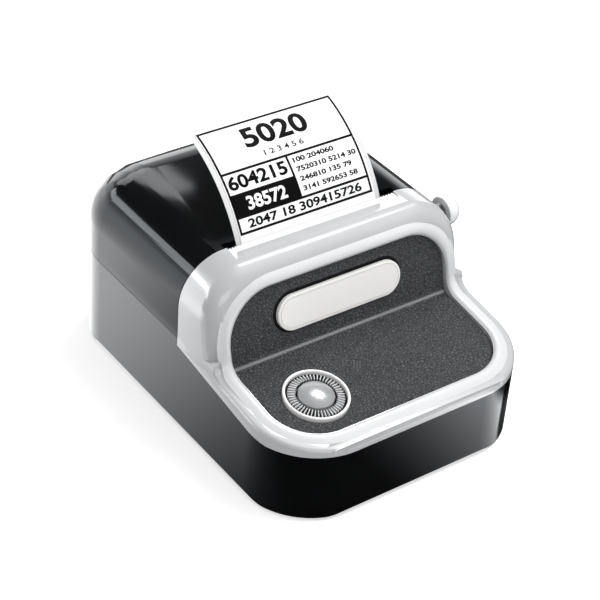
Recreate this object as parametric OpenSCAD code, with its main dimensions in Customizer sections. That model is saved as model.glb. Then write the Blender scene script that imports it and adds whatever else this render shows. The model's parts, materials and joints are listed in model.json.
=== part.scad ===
// Desktop thermal label printer with a hinged roll cover.
// Origin: centre of the four feet on the table. +Z up, the seat and panel face -Y, the roll bay is at +Y.

/* [Body] */
// Width of the body
body_w = 118; // [114:1:126]
// Length of the body from the seat's front edge to the rear wall
body_l = 160.5; // [156:0.5:170]
// Height of the cover's top above the table
body_top = 76.15; // [76:0.05:80]
// Gap under the case, which is how far the feet stand out
foot_stand = 1.5; // [1:0.1:3]
// Corner radius of the body seen from above
plan_r = 28.5; // [24:0.5:32]
// Radius of the two long upper edges
arch_r = 19; // [16:0.5:22]
// Radius of the rear upper edge
rear_r = 25.5; // [18:0.5:32]
// Radius of the lower edge of the case
base_r = 2; // [1:0.5:2]
// Wall of the plastic shells
wall = 2.4; // [2:0.1:2.8]
// Height of the seam between the cover and the case
seam_z = 42.5; // [41:0.5:44]
// Plane where the front frame ends and the cover starts
slot_y = -4.9; // [-6:0.1:-4]
// Gap between the closed cover and its neighbours
seam_gap = 0.4; // [0.3:0.1:0.8]

/* [Front frame] */
// Crease of the panel: distance in front of the centre
crease_y = -28.5; // [-30:0.5:-27]
// Crease of the panel: height above the table
crease_z = 39; // [38:0.5:40]
// Slope of the seat, down to the front
seat_slope = 7.9; // [6:0.1:9]
// Lean of the backrest from the vertical
back_lean = 12.5; // [10:0.5:14]
// How far the rim stands above the panel
rim_rise = 1.2; // [0.6:0.1:1.6]
// Width of the bead round the panel
bead_w = 5.1; // [4:0.1:6]
// How far the bead stands above the rim
bead_rise = 0.8; // [0.4:0.1:1]
// Radius of the frame's upper front edge
brow_r = 9; // [6:0.5:10]
// Height of the white skirt at the front, below the seat
skirt_front_h = 1.5; // [1:0.1:3]
// Height of the white skirt's lower edge at the cover
skirt_rear_z = 39.2; // [38:0.1:40]
// Length of the level part of the skirt's edge at the front
skirt_level_l = 19.25; // [16:0.25:24]

/* [Panel] */
// Width of the leather panel
panel_w = 100.7; // [98:0.1:102]
// Length of the panel along the backrest
panel_back = 29.2; // [28:0.1:30]
// Rim between the panel's front edge and the front of the body
panel_margin = 9.35; // [8.5:0.05:10.5]
// Corner radius of the panel
panel_r = 19; // [14:0.5:20]
// Thickness of the leather panel with its board
panel_t = 1.8; // [1.4:0.1:2]
// Thickness of the frame's shelf under the panel
shelf_t = 2.2; // [1.8:0.1:2.4]
// Gap round the panel
panel_gap = 0.3; // [0.2:0.1:0.5]
// Length of the name plate
plate_w = 57.4; // [50:0.2:62]
// Height of the name plate
plate_h = 14.6; // [12:0.2:16]
// Height of the name plate's centre above the crease, along the backrest
plate_up = 15; // [14:0.5:16]
// How far the name plate stands out of the panel
plate_rise = 1; // [0.6:0.1:1.4]

/* [Power button] */
// Sideways place of the button
button_x = -29.3; // [-32:0.1:-26]
// Distance of the button's centre from the panel's front edge
button_margin = 18.4; // [17:0.1:20]
// Outer diameter of the white bezel
bezel_d = 25.6; // [24:0.2:27]
// Width of the bezel's raised rim
bezel_rim = 1.4; // [1:0.1:1.8]
// Outer diameter of the knurled ring
knurl_d = 22; // [20:0.2:22.2]
// Diameter of the button's dome
dome_d = 13.8; // [12:0.2:14.4]
// Height of the dome's top above the panel
dome_rise = 2.2; // [1.6:0.1:3]
// Travel of the power button
button_travel = 0.8; // [0.4:0.1:1]
// Gap round a sliding button
button_gap = 0.35; // [0.3:0.05:0.5]

/* [Release knob] */
// Radius of the ball-shaped release knob
knob_r = 6.2; // [5:0.1:7]
// Distance of the knob's centre in front of the body's centre
knob_y = -13.2; // [-14:0.2:-12]
// Height of the knob's centre
knob_z = 65.3; // [63:0.2:66]
// Travel of the release knob into the body
knob_travel = 2; // [1:0.1:2.2]

/* [Label path] */
// Distance of the label's exit from the body's centre
exit_y = -3.1; // [-3.4:0.1:-3]
// Height of the label's exit
exit_z = 75.1; // [75:0.1:75.6]
// Angle of the label at the exit, from the horizontal
exit_angle = 63; // [60:1:66]
// Angle of the label at the print line, from the horizontal
print_angle = 72.5; // [72:0.5:74]
// Angle at the free end of the label
end_angle = 12; // [5:1:30]
// Radius of the label's curl in the air
curl_r = 56; // [50:1:62]
// Radius of the label's bend between the print line and the exit
throat_r = 39; // [36:1:42]
// Width of the liner
liner_w = 66.8; // [60:0.2:70]
// Width of the labels on the liner
label_w = 62.4; // [56:0.2:66]
// Thickness of the liner
liner_t = 0.25; // [0.2:0.05:0.3]
// Thickness of a label
label_t = 0.2; // [0.15:0.05:0.25]
// Thickness of the glue under a label
glue_t = 0.05; // [0.05:0.01:0.1]
// Bare liner past the printed label
label_margin = 4.5; // [3:0.5:6]

/* [Print mechanism] */
// Length of the tear bar, and of the slot behind it
tear_w = 77; // [76:0.5:79]
// Radius of the rubber platen
platen_r = 4; // [3.6:0.1:4.2]
// How far the print head reaches past each end of the rubber platen
platen_margin = 3; // [2.5:0.5:5]
// Radius of the platen's steel shaft
shaft_r = 1.5; // [1.2:0.1:1.8]
// Length of the print head
head_l = 82; // [78:1:82]
// Thickness of the print head's ceramic strip
ceramic_t = 0.8; // [0.6:0.1:1]
// Thickness of the print head's heat sink
sink_t = 3.4; // [3:0.1:3.6]
// Distance of the head's pivot below the print line
pivot_drop = 13.5; // [12:0.5:15]
// Gap between each end of the print head and the chassis plate
chassis_gap = 1; // [0.5:0.1:1.2]
// Thickness of the chassis plates
chassis_t = 1.2; // [1:0.1:1.4]
// Teeth of the motor's pinion
pinion_teeth = 12; // [10:1:14]
// Teeth of the idler gear
idler_teeth = 49; // [45:1:51]
// Teeth of the platen's gear
platen_teeth = 16; // [14:1:16]
// Face width of the drive gears
gear_w = 2.5; // [2:0.1:2.5]
// Diameter of the stepper motor
motor_d = 25; // [20:1:26]
// Length of the stepper motor
motor_l = 14; // [10:1:16]

/* [Roll bay] */
// Room between a full label roll and the ends of its tray
roll_room = 6; // [5:0.5:12]
// Height of the roll's axis
roll_z = 37.5; // [37:0.5:39]
// Inner radius of the roll's core
core_r = 9.5; // [8:0.5:12]
// Wall of the cardboard core
core_t = 1.5; // [1:0.1:2]
// Travel of each paper guide outwards
guide_travel = 5; // [3:0.5:6]
// Thickness of a paper guide
guide_t = 2.2; // [1.8:0.1:2.6]
// Radius of the round plate of a paper guide
guide_r = 20; // [16:0.5:22]
// Gap between a guide and the roll's end
guide_gap = 0.5; // [0.3:0.1:0.8]

/* [Hinge] */
// Radius of the hinge barrel
barrel_r = 4.05; // [3.6:0.05:4.2]
// Radius of the hinge rod
hinge_rod_r = 1.25; // [1:0.05:1.5]
// Length of the hinge barrel
barrel_l = 92; // [90:1:94]
// Length of the hinge rod
hinge_rod_l = 80; // [70:1:80]
// Length of the case's own knuckle
lug_l = 28; // [20:1:34]

/* [Inside] */
// Radius of one battery cell
cell_r = 9.2; // [8:0.1:9.4]
// Length of the battery cells
cell_l = 69; // [60:1:72]
// Thickness of the circuit boards
board_t = 1.6; // [1:0.1:1.8]
// Diameter of a rubber foot
foot_d = 12; // [8:0.5:14]
// Radius of the screws' threads
screw_r = 1.3; // [1:0.1:1.5]
// Width of the charging socket's mouth
usb_w = 8.94; // [8.94:0.01:9.1]
// Height of the charging socket's mouth
usb_h = 3.26; // [3.26:0.01:3.3]

/* [Hidden] */
$fn = 64;

run_gap = 0.05; // radial clearance of a turning fit
slide_gap = 0.3; // clearance between pieces that move past each other
cut = 1; // how far a cutting shape runs past a face
far = 200; // longer than the whole body

drive_module = 0.5; // gear module of the paper drive
rack_module = 0.8; // gear module of the guide racks and their pinion
rack_teeth = 10;

rear_y = body_l / 2;
front_y = -body_l / 2;
floor_z = foot_stand + wall;
skirt_turn_y = front_y + skirt_level_l;
skirt_front_z = crease_z - (crease_y - front_y) * tan(seat_slope) - skirt_front_h;
panel_seat = (crease_y - front_y) / cos(seat_slope) - panel_margin;
button_out = panel_seat - button_margin;
hinge_y = rear_y - barrel_r;
hinge_z = seam_z;
barrel_gap = 0.35;

// Directions in the side view, as [towards the rear, up].
function along(angle) = [cos(angle), sin(angle)];
function left_of(angle) = [-sin(angle), cos(angle)];
function unit(v) = v / norm(v);

seat_dir = -along(seat_slope);
back_dir = along(90 - back_lean);
seat_normal = left_of(seat_slope);
back_normal = left_of(90 - back_lean);
crease = [crease_y, crease_z];

// The crease of the seat and the backrest moved out of the panel by a distance.
function raised_crease(rise) =
    crease + rise * (seat_normal + back_normal) / (1 + seat_normal * back_normal);

// The corner b of a path a, b, c turned into an arc.
function round_corner(a, b, c, r, steps = 8) =
    let (
        u = unit(a - b),
        v = unit(c - b),
        half = acos(u * v) / 2,
        centre = b + unit(u + v) * (r / sin(half)),
        start = b + u * (r / tan(half)) - centre,
        finish = b + v * (r / tan(half)) - centre,
        start_angle = atan2(start.y, start.x),
        turn = (atan2(finish.y, finish.x) - start_angle + 540) % 360 - 180
    )
    [for (i = [0:steps]) centre + r * along(start_angle + turn * i / steps)];

// A closed path with a radius for each corner; 0 keeps the corner sharp.
function rounded_path(points, radii) =
    let (count = len(points))
    [for (i = [0:count - 1]) each radii[i] > 0
        ? round_corner(points[(i + count - 1) % count], points[i], points[(i + 1) % count], radii[i])
        : [points[i]]];

// Label path: the print line, the throat and the curl are arcs that follow on from each other.
web_gap = 0.1;
wrap_r = platen_r + web_gap;
exit_point = [exit_y, exit_z];
throat_centre = exit_point - throat_r * left_of(exit_angle);
print_point = throat_centre + throat_r * left_of(print_angle);
platen_centre = print_point - wrap_r * left_of(print_angle);
curl_centre = exit_point - curl_r * left_of(exit_angle);
label_stop_angle = end_angle + label_margin / curl_r * 180 / PI;
head_gap = 0.15;
head_face = wrap_r + liner_t + glue_t + label_t + head_gap;
head_point = platen_centre + head_face * left_of(print_angle);

function web_arc(centre, radius, from, to, steps) =
    [for (i = [0:steps]) centre + radius * left_of(from + (to - from) * i / steps)];
function web_line(offset, last_angle) = concat(
    web_arc(platen_centre, wrap_r + offset, 180, print_angle, 12),
    web_arc(throat_centre, throat_r + offset, print_angle, exit_angle, 3),
    web_arc(curl_centre, curl_r + offset, exit_angle, last_angle, 16));
function free_line(offset, last_angle) = concat(
    web_arc(throat_centre, throat_r + offset, print_angle - 2, exit_angle, 3),
    web_arc(curl_centre, curl_r + offset, exit_angle, last_angle, 16));
function reversed(list) = [for (i = [len(list) - 1:-1:0]) list[i]];

platen_l = head_l - 2 * platen_margin;
chassis_w = head_l + 2 * chassis_gap;

// Drive gears: the idler sits below the platen along the cover's first direction of travel.
hinge_arm = platen_centre - [hinge_y, hinge_z];
lift_dir = unit([hinge_arm.y, -hinge_arm.x]);
lift_angle = atan2(lift_dir.y, lift_dir.x);
pinion_pitch_r = drive_module * pinion_teeth / 2;
idler_pitch_r = drive_module * idler_teeth / 2;
platen_pitch_r = drive_module * platen_teeth / 2;
idler_centre = platen_centre - (platen_pitch_r + idler_pitch_r) * lift_dir;
motor_centre = idler_centre - [0, pinion_pitch_r + idler_pitch_r];
gear_x = -chassis_w / 2 - chassis_t - 0.8;
idler_tooth = lift_angle;
idler_offset = (idler_tooth + 90) / (360 / idler_teeth);
pinion_tooth = 90 - idler_offset * 360 / pinion_teeth + 180 / pinion_teeth;
platen_tooth = lift_angle + 180 + 180 / platen_teeth;

// Outline of a spur gear with one tooth centred on the angle `tooth`.
function gear_points(teeth, size, tooth) =
    let (
        pitch = 360 / teeth,
        root = size * (teeth / 2 - 1.25),
        tip = size * (teeth / 2 + 1)
    )
    [for (i = [0:teeth - 1]) each [
        root * along(tooth + pitch * (i - 0.33)),
        tip * along(tooth + pitch * (i - 0.11)),
        tip * along(tooth + pitch * (i + 0.11)),
        root * along(tooth + pitch * (i + 0.33))
    ]];

// Guides and their racks.
guide_x = liner_w / 2 + guide_gap;
rack_pitch = PI * rack_module;
rack_pitch_r = rack_module * rack_teeth / 2;
tray_floor_z = 9;
tray_t = 2;
rack_z = 6.5;
rack_h = 2;
rack_bar = 3;
rack_reach = 9;
tray_w = body_w - 14;
tray_front_y = slot_y + 11.9;
tray_rear_y = rear_y - 9.25;
roll_r = (tray_rear_y - tray_front_y) / 2 - roll_room;
roll_y = (tray_rear_y + tray_front_y) / 2 + 1; // a little behind the tray's middle
tray_r = 22;
tray_wall = 1.6;
tray_lip_z = seam_z - 3;
board_z = floor_z + 1.8;

// Places of the fastenings and feet.
boss_x = body_w / 2 - 12;
boss_y = body_l / 2 - 15.5;
boss_r = 4;
boss_top = tray_floor_z - slide_gap;
foot_x = body_w / 2 - 31;
foot_y = body_l / 2 - 22.25;
foot_t = 2.4;
button_board_drop = 11;
usb_x = -22;
usb_l = 7.4;
cell_front_y = front_y + 20.25;
cell_rear_y = cell_front_y + 2 * cell_r + 1.1;
cradle_rim = 1.5;
main_board_w = chassis_w - 4;
main_board_front_y = cell_rear_y + cell_r + cradle_rim + 1.8;
main_board_rear_y = tray_front_y - 3;
chassis_screw_y = -9;
chassis_screw_x = chassis_w / 2 + chassis_t - 4;
charge_board_w = 24;
charge_board_l = 19.6;
head_cable_w = 20;
chute_w = head_l;
cell_z = floor_z + 0.6 + cell_r;
lead_r = 0.8;
lead_x = -30;
crease_r = 2.4;
rim_fold_r = 8;
inner_fold_r = 4;
button_flange_z = -panel_t - shelf_t - slide_gap - 1;
button_stem_z = button_flange_z - 0.6;
knob_stem_r = 2.2;
knob_floor_x = body_w / 2 - knob_travel - 4;

// Tear bar in the frame's lip.
tear_deep = 4;
tear_t = 0.8;
tooth_pitch = 1.3;
tooth_h = 0.9;

// Print head, its chassis and the platen's bracket, partly in the head's own frame.
pivot_local = [-ceramic_t - sink_t / 2, -pivot_drop];
spring_gap = 3.4;
chassis_foot_z = 20;
latch_x = chassis_w / 2 + chassis_t + 0.5;
bracket_in = platen_l / 2 + 1.2;
bracket_t = 2;
bush_r = 3;

// Slots in the tray's floor for the guides.
guide_slot = guide_t + guide_travel + 1.4;
rack_mid = rack_pitch_r + rack_module * 1.4 + rack_bar / 2;

// ---------- helpers ----------

module rounded_rect(w, l, r) {
    square([w - 2 * r, l], center = true);
    square([w, l - 2 * r], center = true);
    for (x = [-1, 1], y = [-1, 1]) translate([x * (w / 2 - r), y * (l / 2 - r)]) circle(r);
}

// Extrudes a side view, drawn as [y, z], across the width w about x.
module side_prism(w = far, x = 0) {
    translate([x - w / 2, 0, 0]) rotate([90, 0, 90]) linear_extrude(w) children();
}

module plan_prism(inset, low, high) {
    translate([0, 0, low]) linear_extrude(high - low)
        rounded_rect(body_w - 2 * inset, body_l - 2 * inset, plan_r - inset);
}

// The body seen from the front: two large arch corners above, two small corners below.
module arch_profile(inset) {
    half = body_w / 2 - inset;
    low = foot_stand + inset;
    high = body_top - inset;
    top_r = arch_r - inset;
    low_r = max(base_r - inset, 0.2);
    translate([-half, low + low_r]) square([2 * half, high - top_r - low - low_r]);
    translate([-half + low_r, low]) square([2 * (half - low_r), low_r + cut]);
    translate([-half + top_r, high - top_r - cut]) square([2 * (half - top_r), top_r + cut]);
    for (x = [-1, 1]) {
        translate([x * (half - top_r), high - top_r]) circle(top_r);
        translate([x * (half - low_r), low + low_r]) circle(low_r);
    }
}

// The body seen from the side, with its rear upper edge rounded.
module side_outline(inset) {
    low = foot_stand + inset;
    high = body_top - inset;
    end = rear_y - inset;
    low_r = max(base_r - inset, 0.2);
    polygon(rounded_path(
        [[-end, low], [end, low], [end, high], [-end, high]],
        [low_r, low_r, rear_r - inset, 0]));
}

// A prism that rounds one rear upper corner in the direction turn: 0 towards the side, 90 towards the rear.
module corner_prism(inset, side, turn) {
    reach = plan_r - inset + 0.05;
    top = body_top - inset;
    edge_r = arch_r + (rear_r - arch_r) * pow(sin(turn), 2) - inset;
    translate([side * (body_w / 2 - plan_r), rear_y - plan_r, 0]) rotate([0, 0, -side * (90 - turn)])
        side_prism(2 * far) polygon(rounded_path(
            [[-far, -cut], [reach, -cut], [reach, top], [-far, top]],
            [0, 0, edge_r, 0]));
}

module body_solid(inset) {
    intersection() {
        plan_prism(inset, 0, far);
        rotate([90, 0, 0]) linear_extrude(far, center = true) arch_profile(inset);
        side_prism() side_outline(inset);
        intersection_for(side = [-1, 1]) intersection_for(turn = [22.5, 45, 67.5]) corner_prism(inset, side, turn);
    }
}

// Frames of reference on the seat, on the backrest and on the print head.
module on_seat() {
    translate([0, crease_y, crease_z]) rotate([seat_slope, 0, 0]) children();
}

module on_back() {
    translate([0, crease_y, crease_z]) rotate([-back_lean, 0, 0]) children();
}

module on_head() {
    translate([0, head_point.x, head_point.y]) rotate([print_angle - 90, 0, 0]) children();
}

module at_button() {
    on_seat() translate([button_x, -button_out, 0]) children();
}

// A cylinder across the body: from x0 to x1 on the axis [y, z].
module cross_rod(axis, r, x0, x1) {
    translate([x0, axis.x, axis.y]) rotate([0, 90, 0]) cylinder(r = r, h = x1 - x0);
}

module screw(length, head_r, head_h) {
    cylinder(r = screw_r, h = length);
    difference() {
        translate([0, 0, -head_h]) cylinder(r = head_r, h = head_h);
        translate([0, 0, -head_h - cut]) cylinder(r = screw_r * 0.8, h = head_h * 0.6 + cut, $fn = 6);
    }
}

// A closed coil of touching turns round +Z.
module coil(r, wire_r, length) {
    turns = floor(length / (wire_r * 1.7));
    pitch = (length - 2 * wire_r) / (turns - 1);
    for (i = [0:turns - 1])
        translate([0, 0, wire_r + i * pitch]) rotate_extrude() translate([r, 0]) circle(wire_r, $fn = 16);
}

module spur_gear(teeth, size, tooth, bore_r) {
    difference() {
        polygon(gear_points(teeth, size, tooth));
        circle(bore_r);
    }
}

// A drive gear on an axis across the body.
module drive_gear(centre, teeth, tooth, bore_r) {
    translate([gear_x - gear_w, centre.x, centre.y]) rotate([90, 0, 90]) linear_extrude(gear_w)
        spur_gear(teeth, drive_module, tooth, bore_r);
}

// ---------- case ----------

// Side view of the white frame, with the panel's planes raised by rise.
module frame_outline(rise, top, rear, low_front, low_rear, fold_r) {
    corner = raised_crease(rise);
    seat_end = corner + seat_dir * (corner.x + rear_y) / cos(seat_slope);
    brow = corner + back_dir * (top - corner.y) / cos(back_lean);
    polygon(rounded_path(
        [[rear, low_rear], [rear, top], brow, corner, seat_end, [front_y, low_front], [skirt_turn_y, low_front]],
        [0, 0, brow_r, fold_r, 2, 0, 0]));
}

module hinge_clearance() {
    cross_rod([hinge_y, hinge_z], barrel_r + barrel_gap, -barrel_l / 2 - seam_gap, barrel_l / 2 + seam_gap);
    translate([-barrel_l / 2 - seam_gap, hinge_y, hinge_z - barrel_r + 0.1])
        cube([barrel_l + 2 * seam_gap, far, barrel_r]);
}

// The bosses that the underside screws go into.
module at_bosses() {
    for (x = [-1, 1], y = [-1, 1]) translate([x * boss_x, y * boss_y, 0]) children();
}

module bottom_case() {
    color("#101113") {
        difference() {
            intersection() {
                body_solid(0);
                side_prism() polygon([
                    [rear_y + cut, 0],
                    [rear_y + cut, seam_z],
                    [slot_y, seam_z],
                    [slot_y, skirt_rear_z],
                    [skirt_turn_y, skirt_front_z],
                    [front_y - cut, skirt_front_z],
                    [front_y - cut, 0]
                ]);
            }
            plan_prism(wall, 0, far);
            hinge_clearance();
            translate([usb_x, rear_y, board_z + board_t + usb_h / 2]) rotate([90, 0, 0])
                linear_extrude(3 * wall, center = true) rounded_rect(usb_w + 0.6, usb_h + 0.6, usb_h / 2);
        }
        // ledge that the bottom plate closes against
        difference() {
            plan_prism(wall - 0.1, floor_z, floor_z + 1.6);
            plan_prism(wall + 3, 0, far);
        }
        difference() {
            union() {
                intersection() {
                    plan_prism(wall - 0.1, floor_z, boss_top);
                    at_bosses() cylinder(r = boss_r, h = boss_top);
                }
                hinge_lug();
            }
            at_bosses() cylinder(r = screw_r + run_gap, h = boss_top - 0.6);
            cross_rod([hinge_y, hinge_z], hinge_rod_r + run_gap, -lug_l, lug_l);
        }
    }
}

// The case's knuckle in the middle of the hinge, with the block that carries it.
module hinge_lug() {
    intersection() {
        plan_prism(0.1, 0, far);
        union() {
            cross_rod([hinge_y, hinge_z], barrel_r, -lug_l / 2, lug_l / 2);
            translate([-lug_l / 2, hinge_y - barrel_r, seam_z - 14]) cube([lug_l, barrel_r + 1.7, 14]);
        }
    }
}

module bottom_plate() {
    color("#17181a") difference() {
        plan_prism(wall + 0.15, foot_stand, floor_z);
        at_bosses() {
            translate([0, 0, foot_stand - cut]) cylinder(r = 2.9, h = 1.4 + cut);
            cylinder(r = screw_r + 0.2, h = far);
        }
        at_feet() translate([0, 0, foot_stand - cut]) cylinder(d = foot_d + 0.2, h = foot_t - foot_stand + cut);
    }
}

module at_feet() {
    for (x = [-1, 1], y = [-1, 1]) translate([x * foot_x, y * foot_y, 0]) children();
}

module rubber_feet() {
    color("#2a2a2c") at_feet() {
        cylinder(d1 = foot_d - 1, d2 = foot_d, h = 0.5);
        translate([0, 0, 0.5]) cylinder(d = foot_d, h = foot_t - 0.5);
    }
}

module case_screws() {
    color("#8b8d90") at_bosses() translate([0, 0, foot_stand + 1.4]) screw(5, 2.6, 1.2);
}

// Side view of the panel's space, from depth low below its face to high above it.
module panel_profile(low, high) {
    polygon(rounded_path(
        [
            crease + seat_dir * far / 2 + high * seat_normal,
            raised_crease(high),
            crease + back_dir * far / 2 + high * back_normal,
            crease + back_dir * far / 2 + low * back_normal,
            raised_crease(low),
            crease + seat_dir * far / 2 + low * seat_normal
        ],
        [0, crease_r, 0, 0, crease_r, 0]));
}

// One half of the panel's outline, from just behind the crease towards side * y.
module panel_half(grow, length, side) {
    overlap = 1;
    intersection() {
        rounded_rect(panel_w + 2 * grow, 2 * (length + grow), panel_r + grow);
        translate([-far, side > 0 ? -overlap : overlap - far]) square([2 * far, far]);
    }
}

module panel_solid(grow, low, high) {
    depth = 4 * panel_t;
    intersection() {
        side_prism(panel_w + 2 * grow + 2) panel_profile(low, high);
        union() {
            on_seat() translate([0, 0, -depth]) linear_extrude(high + 2 * depth)
                panel_half(grow, panel_seat, -1);
            on_back() rotate([90, 0, 0]) translate([0, 0, -depth]) linear_extrude(high + 2 * depth)
                panel_half(grow, panel_back, 1);
        }
    }
}

// The raised bead round the panel, with a fold that runs on from the rim's.
module rim_bead() {
    low = -1;
    high = 8;
    intersection() {
        side_prism() frame_outline(rim_rise + bead_rise, body_top, slot_y, 0, 0, rim_fold_r - bead_rise);
        union() {
            on_seat() translate([0, 0, low]) linear_extrude(high) panel_half(bead_w, panel_seat, -1);
            on_back() rotate([90, 0, 0]) translate([0, 0, low]) linear_extrude(high)
                panel_half(bead_w, panel_back, 1);
        }
    }
}

module front_frame() {
    color("#d9dadc") difference() {
        intersection() {
            body_solid(0);
            union() {
                difference() {
                    side_prism() frame_outline(rim_rise, body_top, slot_y, skirt_front_z, skirt_rear_z, rim_fold_r);
                    intersection() {
                        plan_prism(wall, 0, far);
                        rotate([90, 0, 0]) linear_extrude(far, center = true) arch_profile(wall);
                        side_prism() frame_outline(-panel_t - shelf_t, body_top - wall, rear_y, 0, 0, inner_fold_r);
                    }
                }
                rim_bead();
                // cup that the release knob slides in
                cross_rod([knob_y, knob_z], knob_r + 2, knob_floor_x - 2, body_w / 2);
            }
        }
        panel_solid(panel_gap, -panel_t, 15);
        // opening for the button's stem
        at_button() translate([0, 0, -3 * panel_t]) cylinder(r = dome_d / 2 + 0.8, h = 3 * panel_t + cut);
        // bore for the release knob
        cross_rod([knob_y, knob_z], knob_r + slide_gap, knob_floor_x, body_w);
        cross_rod([knob_y, knob_z], knob_stem_r + slide_gap, 0, body_w);
        // seat for the tear bar in the lip
        translate([-tear_w / 2 - 0.2, slot_y - tear_deep, body_top - tear_t - 0.6])
            cube([tear_w + 0.4, tear_deep + cut, tear_t + 0.6 + cut]);
    }
}

module tear_bar() {
    teeth = floor(tear_w / tooth_pitch);
    color("#c4c6c9") translate([0, slot_y, body_top - tear_t - 0.4]) linear_extrude(tear_t) polygon([
        [tear_w / 2, -tooth_h],
        [tear_w / 2, -tear_deep + 0.1],
        [-tear_w / 2, -tear_deep + 0.1],
        [-tear_w / 2, -tooth_h],
        for (i = [0:teeth - 1]) each [
            [(i - teeth / 2) * tooth_pitch, -tooth_h],
            [(i - teeth / 2 + 0.5) * tooth_pitch, 0]
        ]
    ]);
}

module leather_panel() {
    color("#46474a") difference() {
        panel_solid(0, -panel_t + 0.05, 0);
        at_button() translate([0, 0, -far / 2]) cylinder(d = bezel_d + 0.2, h = far);
        on_back() translate([0, 0.8, plate_up]) rotate([90, 0, 0]) linear_extrude(far)
            rounded_rect(plate_w + 2, plate_h + 2, plate_h / 2 + 0.99);
    }
}

module name_plate() {
    color("#e4e3e0") on_back() translate([0, 0.8, plate_up]) rotate([90, 0, 0])
        linear_extrude(0.8 + plate_rise) rounded_rect(plate_w, plate_h, plate_h / 2 - 0.01);
}

// ---------- power button ----------

module button_bezel() {
    color("#f2f2f2") at_button() {
        difference() {
            translate([0, 0, -panel_t]) cylinder(d = bezel_d, h = panel_t + 1);
            translate([0, 0, -1]) cylinder(r = bezel_d / 2 - bezel_rim, h = far);
            translate([0, 0, -far / 2]) cylinder(r = dome_d / 2 + 0.8, h = far);
        }
        translate([0, 0, 1]) rotate_extrude() translate([bezel_d / 2 - bezel_rim / 2, 0]) circle(bezel_rim / 2);
    }
}

module knurled_ring() {
    color("#b9bbbe") at_button() difference() {
        union() {
            translate([0, 0, -1]) cylinder(d = knurl_d, h = 1.2);
            translate([0, 0, 0.2]) cylinder(d1 = knurl_d, d2 = dome_d + 3.4, h = 1);
        }
        translate([0, 0, -far / 2]) cylinder(r = dome_d / 2 + button_gap + 0.25, h = far);
    }
}

module power_button() {
    dome_ball = (pow(dome_d / 2, 2) + 1) / 2;
    color("#c9cbce") at_button() {
        intersection() {
            translate([0, 0, dome_rise - dome_ball]) sphere(dome_ball);
            cylinder(d = dome_d, h = far / 10);
        }
        translate([0, 0, button_flange_z]) cylinder(d = dome_d, h = dome_rise - 1 - button_flange_z);
        translate([0, 0, button_flange_z]) cylinder(d = dome_d + 3.4, h = 1);
        translate([0, 0, button_stem_z]) cylinder(r = 1.6, h = cut);
    }
}

module button_spring() {
    color("#a6a8aa") at_button() translate([0, 0, -button_board_drop + board_t])
        coil(4.6, 0.3, button_board_drop - board_t + button_flange_z);
}

module button_board() {
    color("#1f5a3a") at_button() translate([0, 0, -button_board_drop]) difference() {
        translate([-13, -8, 0]) cube([26, 16, board_t]);
        for (x = [-1, 1]) translate([x * 10.5, 0, -cut]) cylinder(r = screw_r, h = far / 10);
    }
}

module tact_switch() {
    top = button_stem_z - button_travel - 0.2;
    color("#3c3c3e") at_button() {
        translate([-2.6, -2.6, -button_board_drop + board_t]) cube([5.2, 5.2, 1.6]);
        translate([0, 0, -button_board_drop + board_t + 1.5])
            cylinder(r = 1.7, h = top + button_board_drop - board_t - 1.5);
    }
}

// ---------- release knob and latch ----------

module release_knob() {
    color("#e9e9ea") difference() {
        union() {
            translate([body_w / 2, knob_y, knob_z]) sphere(knob_r);
            cross_rod([knob_y, knob_z], knob_stem_r, latch_x + 5.2, body_w / 2);
        }
        // flat inner face of the ball, round the stem
        difference() {
            cross_rod([knob_y, knob_z], knob_r + cut, -far, body_w / 2 - 1.5);
            cross_rod([knob_y, knob_z], knob_stem_r, -far, far);
        }
    }
}

module release_spring() {
    color("#a6a8aa") translate([knob_floor_x, knob_y, knob_z]) rotate([0, 90, 0])
        coil(3.1, 0.3, body_w / 2 - 1.5 - knob_floor_x);
}

// A stamped arm on the head shaft; its nose stands beside the platen shaft's right end.
module latch_arm() {
    tip = head_face - shaft_r - slide_gap;
    color("#9a9ca0") on_head() difference() {
        side_prism(1.6, latch_x + 0.8) polygon([
            [pivot_local.x - 3, pivot_local.y - 3],
            [pivot_local.x + 3, pivot_local.y - 3],
            [pivot_local.x + 3, -4],
            [tip, -2.5],
            [tip, 2.2],
            [0, 3],
            [pivot_local.x - 3, 0]
        ]);
        cross_rod(pivot_local, shaft_r + run_gap, 0, far);
    }
}

// ---------- print head ----------

module print_head_strip() {
    color("#d8d3c4") on_head() translate([-head_l / 2, -ceramic_t, -10]) cube([head_l, ceramic_t, 11]);
}

module head_heat_sink() {
    color("#a9acb0") on_head() difference() {
        translate([-head_l / 2, -ceramic_t - sink_t, -pivot_drop - 2.6]) cube([head_l, sink_t, pivot_drop + 3.4]);
        cross_rod(pivot_local, shaft_r + run_gap, -far / 2, far / 2);
        // relief beside the pivot bosses
        for (x = [-1, 1]) translate([x * (head_l / 2 - 23) - 12, -far / 2, -pivot_drop - 4]) cube([24, far, 5]);
    }
}

module head_shaft() {
    color("#c2c4c8") on_head() cross_rod(pivot_local, shaft_r, -chassis_w / 2 - chassis_t, latch_x + 2.2);
}

module head_springs() {
    color("#a6a8aa") on_head() for (x = [-1, 1])
        translate([x * (head_l / 2 - 16), -ceramic_t - sink_t, -3]) rotate([90, 0, 0]) coil(2.2, 0.3, spring_gap);
}

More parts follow.
